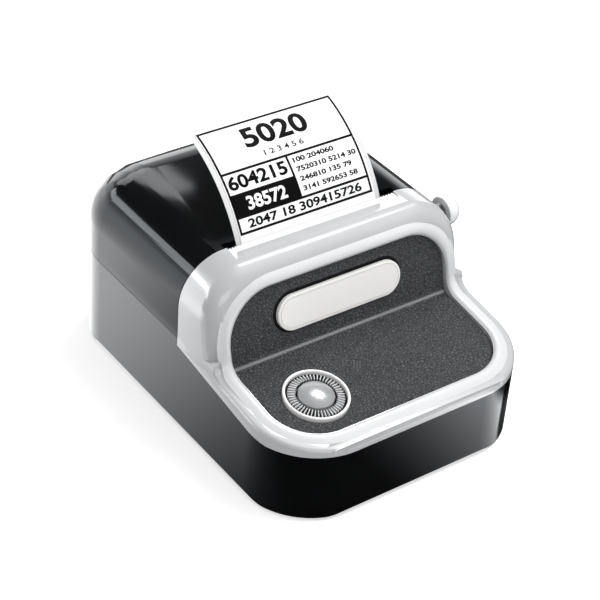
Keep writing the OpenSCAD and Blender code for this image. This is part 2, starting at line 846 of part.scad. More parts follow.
// Cross plate behind the springs and two side plates; the left one also carries the motor and the idler.
module head_chassis() {
    back = -ceramic_t - sink_t - spring_gap;
    color("#8f9296") difference() {
        union() {
            on_head() {
                translate([-(chassis_w + chassis_t) / 2, back - 1, -pivot_drop - 2])
                    cube([chassis_w + chassis_t, 1, pivot_drop + 1]);
                for (x = [-1, 1]) side_prism(chassis_t - 0.2, x * (chassis_w + chassis_t) / 2) polygon([
                    [back - 1, -pivot_drop - 4],
                    [pivot_local.x + 3.2, -pivot_drop - 4],
                    [-1.6, -6],
                    [-1.6, -1],
                    [back - 1, -1]
                ]);
            }
            side_prism(chassis_t + 0.2, -(chassis_w + chassis_t) / 2) polygon([
                motor_centre + [-12, -10],
                motor_centre + [11, -10],
                idler_centre + [8, -2],
                idler_centre + [3, 6],
                idler_centre + [-8, 9],
                motor_centre + [-12, 8]
            ]);
            // legs and their feet
            for (x = [-1, 1]) {
                side_prism(chassis_t, x * (chassis_w + chassis_t) / 2) polygon([
                    [-14, chassis_foot_z],
                    [-4, chassis_foot_z],
                    idler_centre + [-2, 3],
                    idler_centre + [-8, 3]
                ]);
                translate([x * (chassis_w / 2 + chassis_t - 0.1) - (x > 0 ? 8 : 0), -13.8, chassis_foot_z + 0.1])
                    cube([8, 9.6, chassis_t]);
            }
        }
        on_head() cross_rod(pivot_local, shaft_r, -far / 2, far / 2);
        cross_rod(motor_centre, 2.4, -far / 2, 0);
        cross_rod(idler_centre, shaft_r, -far / 2, 0);
        for (x = [-1, 1]) translate([x * chassis_screw_x, chassis_screw_y, 0]) cylinder(r = screw_r + 0.2, h = far / 5);
    }
}

module chassis_screws() {
    color("#8b8d90") for (x = [-1, 1])
        translate([x * chassis_screw_x, chassis_screw_y, chassis_foot_z + chassis_t + 0.1]) rotate([180, 0, 0])
            screw(8, 2.4, 1.2);
}

module head_cable() {
    color("#a5662c") translate([-head_cable_w / 2, chassis_screw_y - 6.4, board_z + board_t])
        cube([head_cable_w, 0.3, 44]);
}

// ---------- paper drive ----------

module stepper_motor() {
    x = -chassis_w / 2 + 0.1;
    color("#77797d") {
        cross_rod(motor_centre, motor_d / 2, x, x + motor_l);
        cross_rod(motor_centre, 0.99, gear_x - gear_w - 0.4, x + 1);
        cross_rod(motor_centre, 2.2, x - chassis_t + 0.2, x + 1);
    }
}

module motor_pinion() {
    color("#e6e2d6") drive_gear(motor_centre, pinion_teeth, pinion_tooth, 0.99 + run_gap);
}

module idler_gear() {
    color("#e6e2d6") drive_gear(idler_centre, idler_teeth, idler_tooth, shaft_r + run_gap);
}

module idler_post() {
    color("#c2c4c8") cross_rod(idler_centre, shaft_r, gear_x - gear_w - 0.8, -chassis_w / 2);
}

// ---------- electronics ----------

module main_board() {
    color("#1f5a3a") difference() {
        translate([-main_board_w / 2, main_board_front_y, board_z])
            cube([main_board_w, main_board_rear_y - main_board_front_y, board_t]);
        // notches round the chassis screws
        for (x = [-1, 1]) translate([x * (main_board_w / 2 - 4), chassis_screw_y, 0]) cylinder(r = 5, h = far / 10);
    }
}

module charge_board() {
    color("#1f5a3a") translate([usb_x - charge_board_w / 2, rear_y - wall - 0.4 - charge_board_l, board_z])
        cube([charge_board_w, charge_board_l, board_t]);
}

module usb_socket() {
    color("#b4b6ba") translate([usb_x, rear_y - 0.6, board_z + board_t + usb_h / 2]) rotate([90, 0, 0]) {
        linear_extrude(usb_l) difference() {
            rounded_rect(usb_w, usb_h, usb_h / 2 - 0.01);
            rounded_rect(usb_w - 0.7, usb_h - 0.7, usb_h / 2 - 0.36);
        }
        translate([0, 0, usb_l]) linear_extrude(0.8) rounded_rect(usb_w, usb_h, usb_h / 2 - 0.01);
        translate([-3.3, -0.35, 1]) cube([6.6, 0.7, usb_l - 0.5]);
    }
}

// The lead on the floor from under the charge board to under the main board.
module charge_lead() {
    z = floor_z + lead_r;
    ends = [main_board_front_y + 6, rear_y - wall - charge_board_l + 7.75];
    color("#b3261e") {
        translate([lead_x, ends[0], z]) rotate([-90, 0, 0]) cylinder(r = lead_r, h = ends[1] - ends[0]);
        for (y = ends) {
            translate([lead_x, y, z]) sphere(lead_r);
            translate([lead_x, y, z]) cylinder(r = lead_r, h = board_z - z);
        }
    }
}

module battery_pack() {
    color("#3f6fb0") {
        for (y = [cell_front_y, cell_rear_y]) cross_rod([y, cell_z], cell_r, -cell_l / 2, cell_l / 2);
        translate([-cell_l / 2, cell_front_y, cell_z - cell_r + 1]) cube([cell_l, cell_rear_y - cell_front_y, 1.2]);
    }
}

module battery_cradle() {
    color("#1b1c1e") difference() {
        translate([-cell_l / 2 - 2, cell_front_y - cell_r - cradle_rim, floor_z])
            cube([cell_l + 4, cell_rear_y - cell_front_y + 2 * (cell_r + cradle_rim), 6]);
        for (y = [cell_front_y, cell_rear_y])
            cross_rod([y, cell_z], cell_r + 0.1, -cell_l / 2 - 0.1, cell_l / 2 + 0.1);
        translate([-cell_l / 2 - 0.1, cell_front_y, floor_z + 1.2])
            cube([cell_l + 0.2, cell_rear_y - cell_front_y, far / 10]);
    }
}

// ---------- roll bay ----------

module tray_plan(grow) {
    translate([0, (tray_front_y + tray_rear_y) / 2])
        rounded_rect(tray_w + 2 * grow, tray_rear_y - tray_front_y + 2 * grow, tray_r + grow);
}

module roll_tray() {
    inner = -tray_wall;
    color("#1b1c1e") difference() {
        union() {
            translate([0, 0, tray_floor_z]) linear_extrude(tray_lip_z - tray_floor_z) tray_plan(0);
            // lip that covers the space between the tray and the case
            intersection() {
                plan_prism(wall + 0.2, tray_lip_z - 1.6, tray_lip_z);
                translate([-far / 2, tray_front_y, 0]) cube([far, far, far]);
            }
            cross_pin([0, roll_y], shaft_r, board_z + 0.4, tray_floor_z + 1);
        }
        translate([0, 0, tray_floor_z + tray_t]) linear_extrude(far) tray_plan(inner);
        translate([-barrel_l / 2 - 1, hinge_y - barrel_r - 0.5, tray_lip_z - 4]) cube([barrel_l + 2, far, far]);
        for (side = [-1, 1])
            translate([side * (guide_x + guide_t / 2 + guide_travel / 2) - guide_slot / 2, roll_y - side * rack_mid - 2.1, 0])
                cube([guide_slot, 4.2, far / 8]);
        // room for the hinge lug
        translate([-lug_l / 2 - 1, hinge_y - barrel_r - 0.5, tray_lip_z - 20]) cube([lug_l + 2, far, far]);
    }
}

module cross_pin(centre, r, low, high) {
    translate([centre.x, centre.y, low]) cylinder(r = r, h = high - low);
}

module paper_chute() {
    top = platen_centre.y - wrap_r - 1.2;
    color("#232427") {
        translate([-chute_w / 2, tray_front_y, tray_lip_z]) cube([chute_w, tray_wall + 0.8, top - tray_lip_z - 1.2]);
        cross_rod([tray_front_y + 1.2, top - 1.2], 1.2, -chute_w / 2, chute_w / 2);
    }
}

module gap_sensor() {
    top = platen_centre.y - wrap_r - 1.4;
    color("#2d2e31") translate([-6, tray_front_y + tray_wall + 0.8, top - 6]) cube([12, 5, 5.4]);
}

// One paper guide on the left side; the right one is the same turned half a turn.
module paper_guide() {
    outer = -guide_x - guide_t;
    cross_rod([roll_y, roll_z], guide_r, outer, -guide_x);
    translate([outer, roll_y - 11, tray_floor_z + tray_t + 0.4]) cube([guide_t, 22, roll_z - tray_floor_z - tray_t]);
    cross_rod([roll_y, roll_z], core_r - slide_gap, -guide_x, -guide_x + 7);
    translate([outer, roll_y + rack_mid - rack_bar / 2, rack_z])
        cube([guide_t, rack_bar, tray_floor_z + tray_t + 2 - rack_z]);
    translate([outer, roll_y + rack_mid - rack_bar / 2, rack_z]) cube([rack_reach - outer, rack_bar, rack_h]);
    intersection() {
        translate([0, roll_y, rack_z]) linear_extrude(rack_h) rack_teeth_row();
        translate([-guide_x, roll_y, rack_z]) cube([guide_x + rack_reach, far, far]);
    }
}

// Teeth of the rack, pointing at the pinion, with a gap at x = 0.
module rack_teeth_row() {
    root = rack_pitch_r + rack_module * 1.25;
    tip = rack_pitch_r - rack_module + 0.15;
    for (i = [-6:3]) translate([(i + 0.5) * rack_pitch, 0]) polygon([
        [-0.31 * rack_pitch, root + 0.3],
        [-0.31 * rack_pitch, root],
        [-0.12 * rack_pitch, tip],
        [0.12 * rack_pitch, tip],
        [0.31 * rack_pitch, root],
        [0.31 * rack_pitch, root + 0.3]
    ]);
}

module guide_left() {
    color("#303135") paper_guide();
}

module guide_right() {
    color("#303135") translate([0, 2 * roll_y, 0]) rotate([0, 0, 180]) paper_guide();
}

module guide_pinion() {
    color("#e6e2d6") translate([0, roll_y, rack_z]) linear_extrude(rack_h)
        spur_gear(rack_teeth, rack_module, 90, shaft_r + run_gap);
}

module roll_core() {
    color("#b08a5b") difference() {
        cross_rod([roll_y, roll_z], core_r + core_t, -liner_w / 2, liner_w / 2);
        cross_rod([roll_y, roll_z], core_r, -body_w / 2, body_w / 2);
    }
}

module label_roll() {
    color("#efefec") difference() {
        cross_rod([roll_y, roll_z], roll_r, -liner_w / 2, liner_w / 2);
        cross_rod([roll_y, roll_z], core_r + core_t, -body_w / 2, body_w / 2);
    }
}

// ---------- cover ----------

module hinge_rod() {
    color("#c2c4c8") cross_rod([hinge_y, hinge_z], hinge_rod_r, -hinge_rod_l / 2, hinge_rod_l / 2);
}

module roll_cover() {
    color("#1a1b1e") difference() {
        union() {
            difference() {
                intersection() {
                    body_solid(0);
                    translate([-far / 2, slot_y + seam_gap, seam_z + seam_gap / 2]) cube([far, far, far]);
                }
                body_solid(wall);
            }
            intersection() {
                plan_prism(0, 0, far);
                cross_rod([hinge_y, hinge_z], barrel_r, -barrel_l / 2, barrel_l / 2);
            }
        }
        cross_rod([hinge_y, hinge_z], hinge_rod_r + run_gap, -hinge_rod_l / 2 - 0.5, hinge_rod_l / 2 + 0.5);
        // room for the case's knuckle
        cross_rod([hinge_y, hinge_z], barrel_r + barrel_gap, -lug_l / 2 - seam_gap, lug_l / 2 + seam_gap);
        translate([-lug_l / 2 - seam_gap, hinge_y - barrel_r - barrel_gap, hinge_z - barrel_r - cut])
            cube([lug_l + 2 * seam_gap, 2 * barrel_r + 1, barrel_r + cut]);
        // label slot
        translate([-tear_w / 2 - 1, slot_y - cut, body_top - 2 * wall])
            cube([tear_w + 2, exit_y + 1.1 - slot_y + cut, 3 * wall]);
    }
}

// Two arms and a bridge under the cover's front edge that carry the platen.
module platen_bracket() {
    top = body_top - wall - 0.06;
    color("#2b2c2f") difference() {
        union() {
            for (x = [-1, 1]) side_prism(bracket_t, x * (bracket_in + bracket_t / 2)) polygon([
                platen_centre + [-3.2, -2],
                platen_centre + [-1.5, -4],
                platen_centre + [4, -4],
                platen_centre + [16, top - platen_centre.y - 3],
                platen_centre + [16, top - platen_centre.y],
                platen_centre + [0.9, top - platen_centre.y],
                platen_centre + [-3.2, 2]
            ]);
            translate([-bracket_in - bracket_t, platen_centre.x + wrap_r + 2.5, top - 3])
                cube([2 * (bracket_in + bracket_t), 8, 3]);
        }
        cross_rod(platen_centre, bush_r - 0.6, -far / 2, far / 2);
    }
}

module platen_bushes() {
    color("#d9d6cc") for (x = [-1, 1]) difference() {
        union() {
            cross_rod(platen_centre, bush_r - 0.6, x * (bracket_in + bracket_t / 2) - bracket_t / 2, x * (bracket_in + bracket_t / 2) + bracket_t / 2);
            cross_rod(platen_centre, bush_r, x * (bracket_in - 0.35) - 0.35, x * (bracket_in - 0.35) + 0.35);
        }
        cross_rod(platen_centre, shaft_r + run_gap, -far / 2, far / 2);
    }
}

module platen_shaft() {
    color("#c2c4c8") cross_rod(platen_centre, shaft_r, gear_x - gear_w - 0.3, latch_x + 1.9);
}

module platen_roller() {
    color("#333336") difference() {
        cross_rod(platen_centre, platen_r, -platen_l / 2, platen_l / 2);
        cross_rod(platen_centre, shaft_r, -body_w / 2, body_w / 2);
    }
}

module platen_gear() {
    color("#e6e2d6") drive_gear(platen_centre, platen_teeth, platen_tooth, shaft_r);
}

module paper_web() {
    color("#e3e3df") side_prism(liner_w) polygon([
        platen_centre + [0.3, -wrap_r],
        [roll_y, roll_z + roll_r + 0.3 + liner_t],
        [roll_y, roll_z + roll_r + 0.3],
        platen_centre + [0.3, -wrap_r - liner_t]
    ]);
}

module label_liner() {
    color("#dcdcda") side_prism(liner_w)
        polygon(concat(web_line(0, end_angle), reversed(web_line(liner_t, end_angle))));
}

module printed_label() {
    color("#fbfbfa") side_prism(label_w) polygon(concat(
        free_line(liner_t + glue_t, label_stop_angle),
        reversed(free_line(liner_t + glue_t + label_t, label_stop_angle))));
}

bottom_case();
bottom_plate();
rubber_feet();
case_screws();
front_frame();
leather_panel();
name_plate();
button_bezel();
knurled_ring();
power_button();
button_spring();
button_board();
tact_switch();
tear_bar();
release_knob();
release_spring();
latch_arm();
head_chassis();
chassis_screws();
print_head_strip();
head_heat_sink();
head_shaft();
head_springs();
head_cable();
stepper_motor();
motor_pinion();
idler_gear();
idler_post();
main_board();
charge_board();
usb_socket();
charge_lead();
battery_pack();
battery_cradle();
roll_tray();
paper_chute();
gap_sensor();
guide_left();
guide_right();
guide_pinion();
roll_core();
label_roll();
paper_web();
hinge_rod();
roll_cover();
platen_bracket();
platen_bushes();
platen_shaft();
platen_roller();
platen_gear();
label_liner();
printed_label();
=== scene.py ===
"""Looks of a desktop thermal label printer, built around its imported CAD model."""

import json
import math
from contextlib import contextmanager
from functools import partial

import bmesh
import bpy
from mathutils import Matrix, Vector


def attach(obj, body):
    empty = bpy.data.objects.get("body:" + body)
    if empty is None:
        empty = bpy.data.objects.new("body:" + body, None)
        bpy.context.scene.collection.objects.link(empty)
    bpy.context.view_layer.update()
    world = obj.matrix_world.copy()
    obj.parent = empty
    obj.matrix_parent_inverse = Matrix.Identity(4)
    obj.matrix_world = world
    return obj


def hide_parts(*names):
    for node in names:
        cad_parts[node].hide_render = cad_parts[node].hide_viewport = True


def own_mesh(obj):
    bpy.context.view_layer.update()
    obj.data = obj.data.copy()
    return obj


bl_info = {
    "name": "Thermal label printer",
    "version": (1, 0, 0),
    "blender": (4, 5, 0),
    "location": "View3D > Sidebar > Printer",
    "description": "Dresses a desktop thermal label printer",
    "category": "Object",
}

MM = 0.001
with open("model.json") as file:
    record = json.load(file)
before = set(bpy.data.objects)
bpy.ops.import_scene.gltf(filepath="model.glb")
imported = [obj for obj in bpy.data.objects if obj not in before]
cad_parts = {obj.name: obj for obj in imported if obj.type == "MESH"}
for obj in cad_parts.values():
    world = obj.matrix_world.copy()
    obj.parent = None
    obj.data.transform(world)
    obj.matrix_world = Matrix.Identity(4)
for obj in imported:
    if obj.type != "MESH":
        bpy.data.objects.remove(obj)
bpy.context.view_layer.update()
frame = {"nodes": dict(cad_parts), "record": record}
NODES = frame["nodes"]

# Sizes and places shared with the CAD model, in millimetres and degrees.
BODY = (118.0, 160.5, 76.15)  # width, length and top
PLAN_R = 28.5  # the plan's corners
ARCH_R = 19.0  # the top's long edges
REAR_R = 25.5  # the top's rear edge
CREASE = (-28.5, 39.0)  # y, z where the faces of the seat and the backrest meet
SEAT_SLOPE = 7.9
BACK_LEAN = 12.5
FOLD_TURN = math.radians(90 - BACK_LEAN - SEAT_SLOPE)
BROW_R = 7.8
BROW_FROM = 30.56  # from the crease up to the brow's arc
PANEL_W = 100.7
PANEL_SEAT = 42.9  # from the crease down the seat
PANEL_BACK = 29.2  # from the crease up the backrest
PANEL_R = 19.0
PANEL_FOLD = 4.0  # the panel's fold
RIM_FOLD = 9.2  # the frame's fold
RIM_RISE = 1.2  # the frame's face above the panel's
PLATE = (57.4, 14.6, 15.0)  # width, height, and from the crease up to its middle
BUTTON_X = -29.3
BUTTON_OUT = 24.5  # from the crease down the seat
BUTTON_TRAVEL = 0.8
EXIT = (-3.1, 75.1)  # y, z where the free curl of the paper starts
EXIT_ANGLE = 63.0
CURL_R = 56.0  # the free curl
THROAT_R = 39.0  # the bend below the exit
PRINT_ANGLE = 72.5
PLATEN = (-1.635468, 67.889003)  # y, z of the middle of the bend round the platen
WRAP_R = 4.1
LINER = (66.8, -14.1, 49.8, 0.25)  # width, lower and upper end from the exit, thickness
LABEL = (62.4, -5.0, 45.3, 1.5)  # width, lower and upper end from the exit, corners
LABEL_BACK = 0.3
LABEL_FACE = 0.5
KNOB = (59.0, -13.2, 65.3)
KNOB_TRAVEL = 2.0
ROLL = (40.0, 37.5)  # y, z of the roll's axis

# Forms that only this script gives, in millimetres.
SHOULDER_R = 7.2  # the frame's front shoulders
EDGE_R = 1.3  # the frame's outer edge
LEATHER_T = 1.6  # the leather over its black backing
BUTTON_HOLE_R = 12.95
PLATE_RISE = 0.85
CUT_STEP = 3.0  # between the cuts that let the leather bend
INK_T = 0.02  # thickness of the print
HEAD_SPRING_TRAVEL = 0.75

WHITE = (1, 1, 1, 1)


# ---------- small tools ----------


def linear(code):
    """An sRGB hex colour as linear RGBA."""
    parts = [int(code[i : i + 2], 16) / 255 for i in (1, 3, 5)]
    return (*[c / 12.92 if c <= 0.04045 else ((c + 0.055) / 1.055) ** 2.4 for c in parts], 1.0)


def add_node(tree, kind, settings=None, links=None):
    """Adds a node, sets its properties, and gives each input a value or another node's output."""
    made = tree.nodes.new(kind)
    for name, value in (settings or {}).items():
        setattr(made, name, value)
    for name, value in (links or {}).items():
        if isinstance(value, bpy.types.NodeSocket):
            tree.links.new(value, made.inputs[name])
        else:
            made.inputs[name].default_value = value
    return made


def new_material(name, **shader):
    """A Principled material with constants on its sockets: (material, tree, shader, object coordinates)."""
    made = bpy.data.materials.new(name)
    made.use_nodes = True
    tree = made.node_tree
    tree.nodes.clear()
    sockets = {name.replace("_", " "): value for name, value in shader.items()}
    principled = add_node(tree, "ShaderNodeBsdfPrincipled", links=sockets)
    out = add_node(tree, "ShaderNodeOutputMaterial")
    tree.links.new(principled.outputs[0], out.inputs["Surface"])
    place = add_node(tree, "ShaderNodeTexCoord").outputs["Object"]
    return made, tree, principled, place


def noise(tree, place, size_mm, detail=3.0):
    """Noise whose lumps are about size_mm wide."""
    return add_node(
        tree,
        "ShaderNodeTexNoise",
        links={"Vector": place, "Scale": 1000 / size_mm, "Detail": detail, "Roughness": 0.55},
    ).outputs["Fac"]


def ramp(tree, value, start, end, low, high, shape="SMOOTHSTEP"):
    """The value turned from start..end to low..high."""
    return add_node(
        tree,
        "ShaderNodeMapRange",
        {"interpolation_type": shape},
        {"Value": value, "From Min": start, "From Max": end, "To Min": low, "To Max": high},
    ).outputs["Result"]


def spread(tree, value, low, high):
    """The value 0 to 1 moved evenly to low to high."""
    return ramp(tree, value, 0.0, 1.0, low, high, "LINEAR")


def calculate(tree, operation, *values):
    """The result of a sum on the values."""
    return add_node(tree, "ShaderNodeMath", {"operation": operation}, dict(enumerate(values))).outputs[0]


def axes(tree, place):
    """The coordinates of a place, one by one."""
    return add_node(tree, "ShaderNodeSeparateXYZ", links={"Vector": place}).outputs


def side_view(tree, place):
    """The place seen along x: its y and z as a flat vector."""
    split = axes(tree, place)
    return add_node(tree, "ShaderNodeCombineXYZ", links={"X": split["Y"], "Y": split["Z"]}).outputs["Vector"]


def blend_colours(tree, value, first, second):
    """The first colour where the value is 0, the second where it is 1."""
    mix = add_node(tree, "ShaderNodeMix", {"data_type": "RGBA"})
    tree.links.new(value, mix.inputs["Factor"])
    mix.inputs["A"].default_value = linear(first)
    mix.inputs["B"].default_value = linear(second)
    return mix.outputs["Result"]


def add_bump(tree, principled, height, depth_mm):
    """Raises the surface where the height is 1, by the depth."""
    made = add_node(tree, "ShaderNodeBump", links={"Distance": depth_mm * MM, "Height": height})
    made.inputs["Strength"].default_value = 1.0
    tree.links.new(made.outputs["Normal"], principled.inputs["Normal"])


def plastic(name, low, high, roughness, texture_mm, depth_mm, ior=1.5, coat=0.0, metallic=0.0, tint=None):
    """Moulded plastic: even colour with a faint orange peel and slightly uneven gloss."""
    made, tree, principled, place = new_material(
        name, IOR=ior, Metallic=metallic, Specular_Tint=tint or WHITE, Coat_Weight=coat, Coat_Roughness=0.03
    )
    lumps = noise(tree, place, texture_mm)
    tree.links.new(blend_colours(tree, noise(tree, place, 30), low, high), principled.inputs["Base Color"])
    tree.links.new(spread(tree, lumps, roughness * 0.85, roughness * 1.15), principled.inputs["Roughness"])
    add_bump(tree, principled, lumps, depth_mm)
    return made


def metal(name, low, high, roughness):
    """Bare or plated metal with fine drawn marks along x."""
    mark_w, mark_l = 0.15, 12.0
    made, tree, principled, place = new_material(name, Metallic=1.0)
    stretched = add_node(
        tree, "ShaderNodeMapping", links={"Vector": place, "Scale": (1 / mark_l, 1 / mark_w, 1 / mark_w)}
    ).outputs["Vector"]
    marks = add_node(
        tree, "ShaderNodeTexNoise", links={"Vector": stretched, "Scale": 1000.0, "Detail": 2.0}
    ).outputs["Fac"]
    tree.links.new(blend_colours(tree, marks, low, high), principled.inputs["Base Color"])
    tree.links.new(spread(tree, marks, roughness * 0.7, roughness * 1.3), principled.inputs["Roughness"])
    add_bump(tree, principled, marks, 0.002)
    return made


def deselect():
    """Leaves edit mode and clears the selection."""
    if bpy.context.object and bpy.context.object.mode != "OBJECT":
        bpy.ops.object.mode_set(mode="OBJECT")
    bpy.ops.object.select_all(action="DESELECT")


def choose(*objects):
    """Selects the objects alone and makes the first one active."""
    deselect()
    for o in objects:
        o.select_set(True)
    bpy.context.view_layer.objects.active = objects[0]


def set_place(o):
    """Puts the object's place into its mesh."""
    choose(o)
    bpy.ops.object.transform_apply(location=True, rotation=True, scale=True)


def modify(o, kind, **settings):
    """Adds a modifier and applies it."""
    choose(o)
    made = o.modifiers.new(kind.lower(), kind)
    for name, value in settings.items():
        setattr(made, name, value)
    bpy.ops.object.modifier_apply(modifier=made.name)


def smooth(o, angle=35.0):
    """Shades it smooth, but for edges sharper than the angle."""
    choose(o)
    bpy.ops.object.shade_smooth_by_angle(angle=math.radians(angle))


def combine(o, operation, *tools):
    """Applies an exact boolean with each tool, and removes the tool."""
    for tool in tools:
        modify(o, "BOOLEAN", operation=operation, object=tool, solver="EXACT")
        bpy.data.objects.remove(tool)


@contextmanager
def editing(o):
    """Edit mode on one object, with all of it selected."""
    choose(o)
    bpy.ops.object.mode_set(mode="EDIT")
    bpy.ops.mesh.select_all(action="SELECT")
    yield
    bpy.ops.object.mode_set(mode="OBJECT")


def recalculate(o, merge_mm=0.001):
    """Merges doubles and turns the faces outwards."""
    with editing(o):
        bpy.ops.mesh.remove_doubles(threshold=merge_mm * MM)
        bpy.ops.mesh.normals_make_consistent(inside=False)


def dress(o, name, body, slot, nodes=(), finish=None):
    """Names a finished piece, gives it its slot's finish or another, and makes it ride with its body."""
    o.name = name
    o.data.name = name
    o.data.materials.clear()
    o.data.materials.append(finish_of(finish or slot))
    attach(o, body)
    if nodes:
        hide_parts(*nodes)
    return o


def copy_node(name):
    """A merged copy of a CAD node's mesh as a new object."""
    source = NODES[name]
    made = bpy.data.objects.new(name + "_copy", source.data.copy())
    bpy.context.scene.collection.objects.link(made)
    recalculate(made)
    return made


def left_of(angle):
    """The (y, z) direction a quarter turn left of an angle in degrees."""
    return (-math.sin(math.radians(angle)), math.cos(math.radians(angle)))


AT_CREASE = Matrix.Translation((0, CREASE[0] * MM, CREASE[1] * MM))
# The seat's own frame: x across, y up the slope towards the crease, z out of the seat.
SEAT = AT_CREASE @ Matrix.Rotation(math.radians(SEAT_SLOPE), 4, "X")
BUTTON = SEAT @ Matrix.Translation((BUTTON_X * MM, -BUTTON_OUT * MM, 0))
# The backrest's own frame: x across, y up the backrest, z out of it.
BACK = AT_CREASE @ Matrix.Rotation(math.radians(90 - BACK_LEAN), 4, "X")


# ---------- materials ----------

# The black gloss mirrors a little cooler than the room.
COOL_GLOSS = linear("#ecf6ff")


def board_green():
    """Solder-masked glass epoxy with tracks under the mask."""
    made, tree, principled, place = new_material("solder_mask", IOR=1.5)
    tracks = add_node(
        tree,
        "ShaderNodeTexBrick",
        links={
            "Vector": place,
            "Scale": 350.0,
            "Mortar Size": 0.03,
            "Color1": linear("#174a30"),
            "Color2": linear("#1b5537"),
            "Mortar": linear("#2c7a4e"),
        },
    )
    tree.links.new(tracks.outputs["Color"], principled.inputs["Base Color"])
    tree.links.new(spread(tree, noise(tree, place, 1.0), 0.25, 0.4), principled.inputs["Roughness"])
    return made


def leather():
    """Grained charcoal leather: pebbles with fine creases, half matt."""
    made, tree, principled, place = new_material(
        "charcoal_leather", IOR=1.45, Sheen_Weight=0.05, Sheen_Roughness=0.5
    )
    cells = add_node(
        tree, "ShaderNodeTexVoronoi", {"feature": "DISTANCE_TO_EDGE"}, {"Vector": place, "Scale": 1000 / 1.15}
    ).outputs["Distance"]
    creases = ramp(tree, cells, 0.0, 0.35, 0.0, 1.0, "LINEAR")
    fine = spread(tree, noise(tree, place, 0.5, 4.0), -0.25, 0.55)
    grain = calculate(tree, "MULTIPLY_ADD", creases, 0.8, fine)
    # A painted highlight: the pressed fold is lighter over about a millimetre to each side.
    middle = skin(0, 0, 0, PANEL_FOLD)
    ends = {0: side_view(tree, place), 1: (middle.y, middle.z, 0)}
    away = add_node(tree, "ShaderNodeVectorMath", {"operation": "DISTANCE"}, ends).outputs["Value"]
    fold_highlight = ramp(tree, away, 0.1 * MM, 0.95 * MM, 1.0, 0.0)
    colour = add_node(tree, "ShaderNodeMix", {"data_type": "RGBA"}, {"Factor": fold_highlight})
    tree.links.new(blend_colours(tree, grain, "#212224", "#5e5f61"), colour.inputs["A"])
    # The lighter colour of the painted highlight on the fold.
    colour.inputs["B"].default_value = linear("#8c8d90")
    tree.links.new(colour.outputs["Result"], principled.inputs["Base Color"])
    tree.links.new(spread(tree, grain, 0.65, 0.42), principled.inputs["Roughness"])
    add_bump(tree, principled, grain, 0.32)
    return made


def pearl():
    """Pearl lacquer on a metal plate: satin, faintly warm, with tiny flakes."""
    made, tree, principled, place = new_material(
        "pearl_lacquer", IOR=1.5, Roughness=0.3, Coat_Weight=0.6, Coat_Roughness=0.08
    )
    flakes = add_node(
        tree, "ShaderNodeTexVoronoi", links={"Vector": place, "Scale": 1000 / 0.25}
    ).outputs["Color"]
    grey = add_node(tree, "ShaderNodeRGBToBW", links={"Color": flakes}).outputs["Val"]
    tree.links.new(blend_colours(tree, grey, "#f3f2f1", "#f7f6f4"), principled.inputs["Base Color"])
    add_bump(tree, principled, noise(tree, place, 6), 0.01)
    return made


def paper(name, low, high, roughness):
    """Paper: even colour, faint fibres."""
    made, tree, principled, place = new_material(name, IOR=1.45, Specular_IOR_Level=0.3)
    fibres = noise(tree, place, 0.35, 5.0)
    tree.links.new(blend_colours(tree, fibres, low, high), principled.inputs["Base Color"])
    tree.links.new(spread(tree, fibres, roughness * 0.9, roughness), principled.inputs["Roughness"])
    add_bump(tree, principled, fibres, 0.006)
    return made


def wound_paper():
    """The wound edges of a label roll: fine rings round the roll's axis on its two ends."""
    made, tree, principled, place = new_material("wound_labels", IOR=1.45, Roughness=0.7)
    centred = add_node(
        tree, "ShaderNodeMapping", links={"Vector": place, "Location": (0, -ROLL[0] * MM, -ROLL[1] * MM)}
    ).outputs["Vector"]
    flat = side_view(tree, centred)
    radius = add_node(tree, "ShaderNodeVectorMath", {"operation": "LENGTH"}, {0: flat}).outputs["Value"]
    # One ring each 0.5 mm: the real 0.14 mm winding is too fine to show.
    ring_mm = 0.5
    wave = calculate(tree, "SINE", calculate(tree, "MULTIPLY", radius, 2 * math.pi * 1000 / ring_mm))
    rings = ramp(tree, wave, -1.0, 1.0, 0.0, 1.0, "LINEAR")
    tree.links.new(blend_colours(tree, rings, "#d4d2ca", "#f1f0ec"), principled.inputs["Base Color"])
    add_bump(tree, principled, rings, 0.05)
    return made


def ink_black():
    """Thermal print: dense black, half matt like the coating."""
    made, tree, principled, place = new_material("thermal_print", IOR=1.45, Specular_IOR_Level=0.25)
    speckle = noise(tree, place, 0.3)
    tree.links.new(blend_colours(tree, speckle, "#060607", "#0e0e10"), principled.inputs["Base Color"])
    tree.links.new(spread(tree, speckle, 0.5, 0.6), principled.inputs["Roughness"])
    return made


